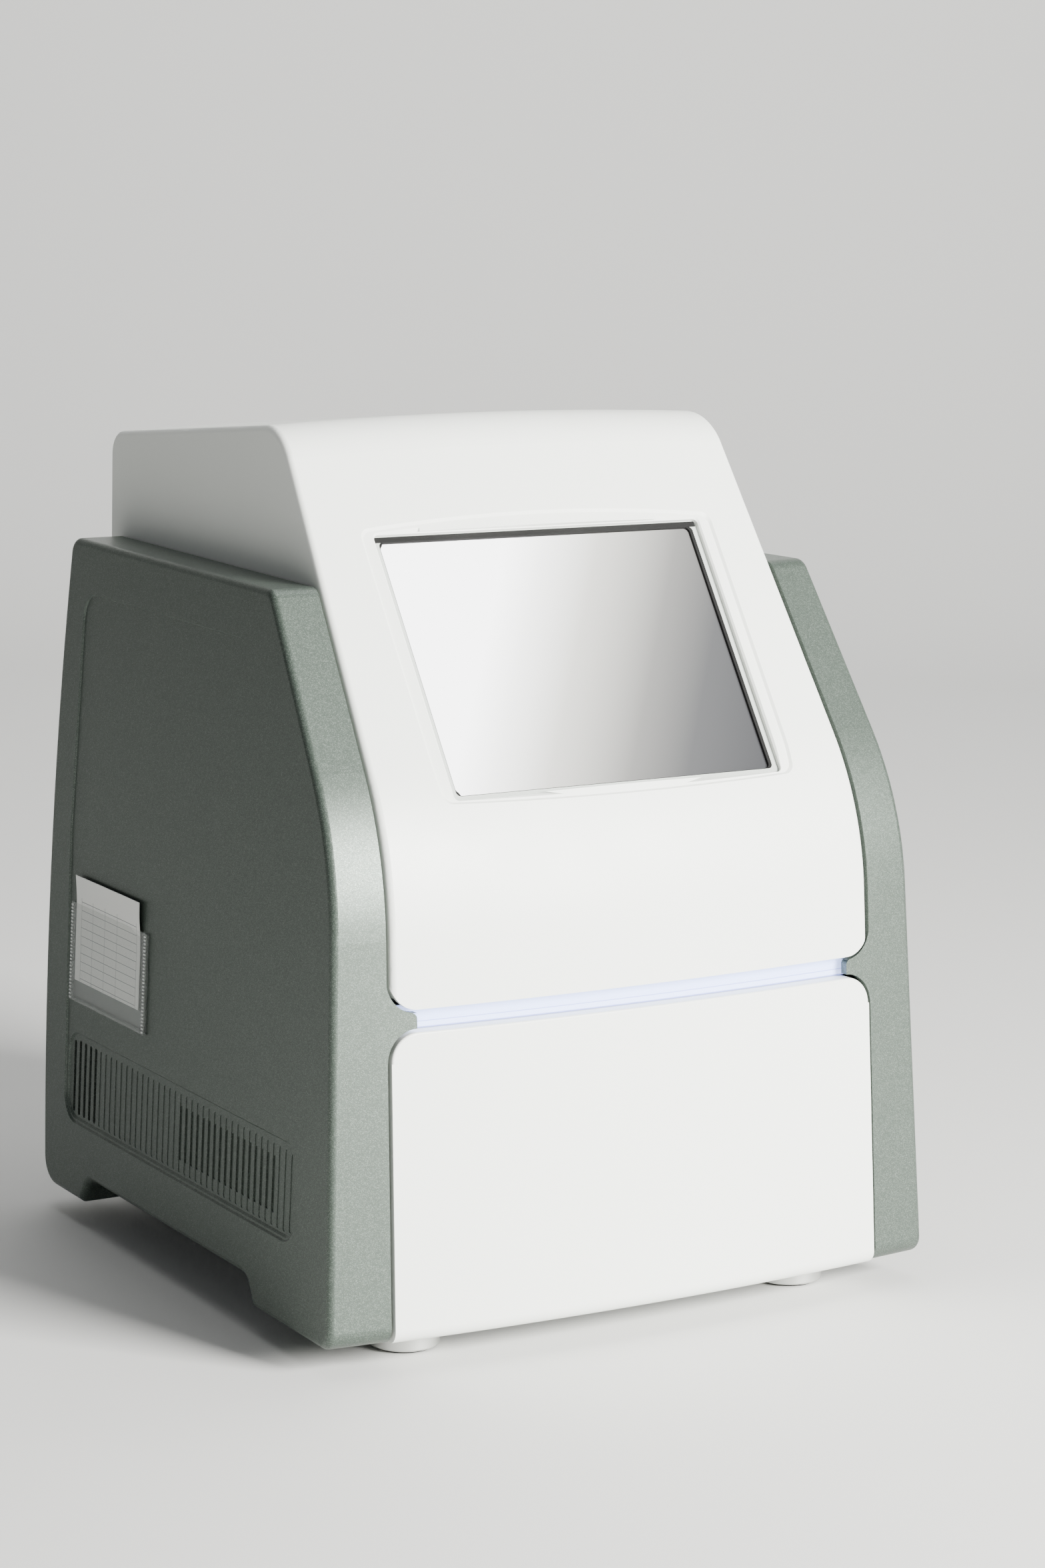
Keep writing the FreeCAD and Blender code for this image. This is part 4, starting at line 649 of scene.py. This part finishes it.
for side in (-1, 1):
    stitch = flat_block("pouch_stitches", (0.0010, 0.0019, 0.0009),
                        (-0.0009, side * side_seam_place, first_stitch))
    rows = stitch.modifiers.new("rows", "ARRAY")
    rows.use_relative_offset = False
    rows.use_constant_offset = True
    rows.constant_offset_displace = (0.0, 0.0, stitch_step)
    rows.count = stitch_count
    bpy.ops.object.modifier_apply(modifier=rows.name)
    finish_on_pouch(stitch, thread)
print("two rows of stitches made")

# %% [markdown]
# A foam gasket seals the glass to its bezel. On the left and below it is squeezed
# under the bezel and hardly shows. We copy the CAD ring and merge its loose
# triangles, so that its inner edges can be moved in the plane of the screen, which
# is level across and slopes at 56.2 degrees.

# %% Foam gasket
screen_slope = math.radians(56.2)
up_screen = Vector((0.0, math.cos(screen_slope), math.sin(screen_slope)))
out_screen = Vector((0.0, -math.sin(screen_slope), math.cos(screen_slope)))


def open_copy(node, name):
    """Copy of a CAD node as a piece of its own, with its loose triangles merged."""
    piece = nodes[node].copy()
    piece.data = piece.data.copy()
    piece.name = name
    piece.parent = None
    bpy.context.scene.collection.objects.link(piece)
    bpy.ops.object.select_all(action="DESELECT")
    piece.select_set(True)
    bpy.context.view_layer.objects.active = piece
    bpy.ops.object.mode_set(mode="EDIT")
    bpy.ops.mesh.select_all(action="SELECT")
    bpy.ops.mesh.remove_doubles(threshold=0.00001)
    bpy.ops.object.mode_set(mode="OBJECT")
    return piece


def shift_corners(piece, wanted, offset):
    """Moves the corners of a mesh that pass the test."""
    bpy.ops.object.mode_set(mode="EDIT")
    bpy.ops.mesh.select_mode(type="VERT")
    bpy.ops.mesh.select_all(action="DESELECT")
    bpy.ops.object.mode_set(mode="OBJECT")
    for vertex in piece.data.vertices:
        vertex.select = wanted(vertex.co)
    bpy.ops.object.mode_set(mode="EDIT")
    bpy.ops.transform.translate(value=offset)
    bpy.ops.object.mode_set(mode="OBJECT")


gasket = open_copy("display_gasket", "fitted_foam_gasket")
heights = [vertex.co.dot(up_screen) for vertex in gasket.data.vertices]
middle_up = (max(heights) + min(heights)) / 2
reach_up = (max(heights) - min(heights)) / 2
reach_across = max(vertex.co.x for vertex in gasket.data.vertices)
print("gasket reaches", round(reach_across, 4), "across and", round(reach_up, 4), "up")

# %% [markdown]
# The inner edges lie more than the ring's outer 1.9 mm inwards. Those on the left
# and below move outwards until only a hair of foam is left beside the glass, and
# so does the one above, where the black strip of the next step, foam and painted
# shadow in one, takes its place.

# %% Squeezed sides of the gasket
outer_band = 0.0019
side_squeeze = 0.0016
top_squeeze = 0.0015


def inner(place):
    """Whether a corner is on the ring's inner edge."""
    up = place.dot(up_screen) - middle_up
    return abs(place.x) < reach_across - outer_band and abs(up) < reach_up - outer_band


shift_corners(gasket, lambda p: inner(p) and p.x < 0, (-side_squeeze, 0.0, 0.0))
shift_corners(gasket, lambda p: inner(p) and p.dot(up_screen) < middle_up,
              -side_squeeze * up_screen)
shift_corners(gasket, lambda p: inner(p) and p.dot(up_screen) > middle_up,
              top_squeeze * up_screen)
gasket.data.materials.clear()
gasket.data.materials.append(black_foam_and_shadow)
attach(gasket, "chassis")
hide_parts("display_gasket")
print("gasket fitted")

# %% [markdown]
# Along the top lies a thicker black strip of the same material. It stands for the
# foam there and for the shadow under the bezel's top wall, so it is partly painted
# shade. It is a plain block with softened edges, turned into the plane of the screen.

# %% Foam and painted shadow strip along the top
strip_size = (0.2174, 0.0038, 0.0022)
strip_above = 0.0013  # its middle line above the ring's upper edge
strip_out = 0.30608  # along the screen's normal, from the origin

# This black strip is foam and painted shadow in one: the shade under the bezel's top wall.
foam_and_shadow_strip = flat_block("top_foam_and_painted_shadow_strip", strip_size, (0.0, 0.0, 0.0))
foam_and_shadow_strip.matrix_world = Matrix((Vector((1.0, 0.0, 0.0)), up_screen, out_screen)).transposed().to_4x4()
foam_and_shadow_strip.location = up_screen * (middle_up + reach_up + strip_above) + out_screen * strip_out
bpy.ops.object.transform_apply(location=True, rotation=True, scale=True)
foam_and_shadow_strip.data.materials.append(black_foam_and_shadow)
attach(foam_and_shadow_strip, "chassis")
print("foam strip laid along the top")

# %% [markdown]
# Pan-head screws hold the rear panel and the two fans. One screw is turned from a
# cylinder: its top edge is bevelled, and a round recess is sunk in by an inset and
# an extrusion. Every copy has its own mesh.

# %% Screws
screw_zinc = metal("zinc_plated_screw", "#c9cbcc", rough=0.3, grain=0.5)
panel_screw = 0.003  # radius of the head
fan_screw = 0.0025
rearwards = Vector((0, 1, 0))


def pan_head(name, place, radius):
    """Screw head with a recess, its seat at place, facing to the rear."""
    bpy.ops.object.select_all(action="DESELECT")
    bpy.ops.mesh.primitive_cylinder_add(vertices=24, radius=radius, depth=radius * 0.7,
                                        location=(0, 0, radius * 0.35))
    head = bpy.context.object
    head.name = name
    apply_place(head)
    for face in head.data.polygons:
        face.select = face.normal.z > 0.9
    for edge in head.data.edges:
        edge.select = False
    bpy.ops.object.mode_set(mode="EDIT")
    bpy.ops.mesh.select_mode(type="FACE")
    bpy.ops.mesh.bevel(offset=radius * 0.25, segments=3, affect="EDGES")
    bpy.ops.mesh.select_all(action="DESELECT")
    bpy.ops.object.mode_set(mode="OBJECT")
    tops = [face for face in head.data.polygons if face.normal.z > 0.99]
    largest = max(tops, key=lambda face: face.area)
    largest.select = True
    bpy.ops.object.mode_set(mode="EDIT")
    bpy.ops.mesh.inset(thickness=radius * 0.3)
    bpy.ops.mesh.extrude_region_move(
        TRANSFORM_OT_translate={"value": (0.0, 0.0, -radius * 0.4)})
    bpy.ops.object.mode_set(mode="OBJECT")
    facing = rearwards.to_track_quat("Z", "Y").to_matrix().to_4x4()
    head.matrix_world = Matrix.Translation(place) @ facing
    bpy.ops.object.transform_apply(location=True, rotation=True, scale=True)
    bpy.ops.object.shade_smooth_by_angle(angle=math.radians(35.0))
    head.data.materials.append(screw_zinc)
    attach(head, "chassis")


print("screw helper ready")

# %% [markdown]
# Six screws stand near the panel's upper and lower edge, and four round each fan,
# at the corners of the square that its frame is drilled to.

# %% Screws in the rear panel
edge_across = 0.007  # from the panel's side edges
edge_up = 0.008  # from its upper and lower edge
fan_across = 0.048  # a fan's middle, either side
fan_height = 0.140
fan_hole = 0.0357  # from a fan's middle to its holes, across and up

panel_low, panel_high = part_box("rear_panel")
rear_y = panel_high[1]
for x in (panel_low[0] + edge_across, 0.0, panel_high[0] - edge_across):
    for z in (panel_low[2] + edge_up, panel_high[2] - edge_up):
        pan_head("rear_panel_screw", (x, rear_y, z), panel_screw)
for x in (-fan_across, fan_across):
    for i in (-1, 1):
        for j in (-1, 1):
            place = (x + i * fan_hole, rear_y, fan_height + j * fan_hole)
            pan_head("fan_screw", place, fan_screw)
print("rear screws placed")

# %% [markdown]
# The machine stands on pale paper that rises behind it in one soft curve, as in a
# small photo studio. We start with a plane turned to the camera's heading, extrude
# its far edge upwards, and round the fold with a bevel. It is only the stage, so
# it isn't part of the object.

# %% Paper sweep
paper_size = 16.0
paper_middle = -4.2
fold_line = 3.0  # only the far edge lies behind this line
paper_rise = 4.0
fold_radius = 1.4

bpy.ops.object.select_all(action="DESELECT")
bpy.ops.mesh.primitive_plane_add(size=paper_size, location=(0.0, paper_middle, 0.0))
sweep = bpy.context.object
sweep.name = "studio_paper_sweep"
apply_place(sweep)
select_edges(sweep, lambda end: end.y > fold_line)
bpy.ops.mesh.extrude_region_move(TRANSFORM_OT_translate={"value": (0.0, 0.0, paper_rise)})
select_edges(sweep, lambda end: end.y > fold_line and end.z < 0.1)
bpy.ops.mesh.bevel(offset=fold_radius, segments=16, affect="EDGES")
bpy.ops.object.mode_set(mode="OBJECT")
sweep.rotation_euler = (0.0, 0.0, -heading)
bpy.ops.object.transform_apply(location=True, rotation=True, scale=True)
bpy.ops.object.shade_smooth()
paper = moulding("pale_studio_paper", "#dededc", rough=0.8, grain=3.0, depth=0.02)
sweep.data.materials.append(paper)
print("paper sweep laid, faces:", len(sweep.data.polygons))

# %% [markdown]
# The photograph has one strong soft light to the right of the camera, which leaves
# the left cover in its own shadow. We set a large low key on the right, a very
# weak fill on the left, a soft one overhead, and one that lifts the paper behind.

# %% Lights


def softbox(name, place, target, size, power, tint="#ffffff"):
    """Square area light aimed at a point, with its size in metres and power in watts."""
    data = bpy.data.lights.new(name, "AREA")
    data.shape = "SQUARE"
    data.size = size
    data.energy = power
    data.color = colour(tint)[:3]
    lamp = bpy.data.objects.new(name, data)
    bpy.context.scene.collection.objects.link(lamp)
    lamp.location = place
    lamp.rotation_euler = (Vector(target) - Vector(place)).to_track_quat("-Z", "Y").to_euler()


softbox("key_softbox", place=(1.0, -2.6, 1.2), target=(0.0, 0.0, 0.25),
        size=1.2, power=400.0, tint="#fffefa")
softbox("fill_softbox", place=(-2.4, -0.6, 1.2), target=(0.0, 0.0, 0.25),
        size=1.6, power=2.0, tint="#f4f8ff")
softbox("top_softbox", place=(0.2, 0.2, 2.4), target=(0.0, 0.0, 0.3), size=1.6, power=24.0)
softbox("paper_softbox", place=(1.3, 2.0, 2.6), target=(2.0, 3.1, 0.6), size=2.0, power=35.0)

world = bpy.data.worlds.new("soft_room")
world.use_nodes = True
room = world.node_tree.nodes["Background"]
room.inputs["Color"].default_value = colour("#dfe3e6")
room.inputs["Strength"].default_value = 0.15
bpy.context.scene.world = world
print("lights set")
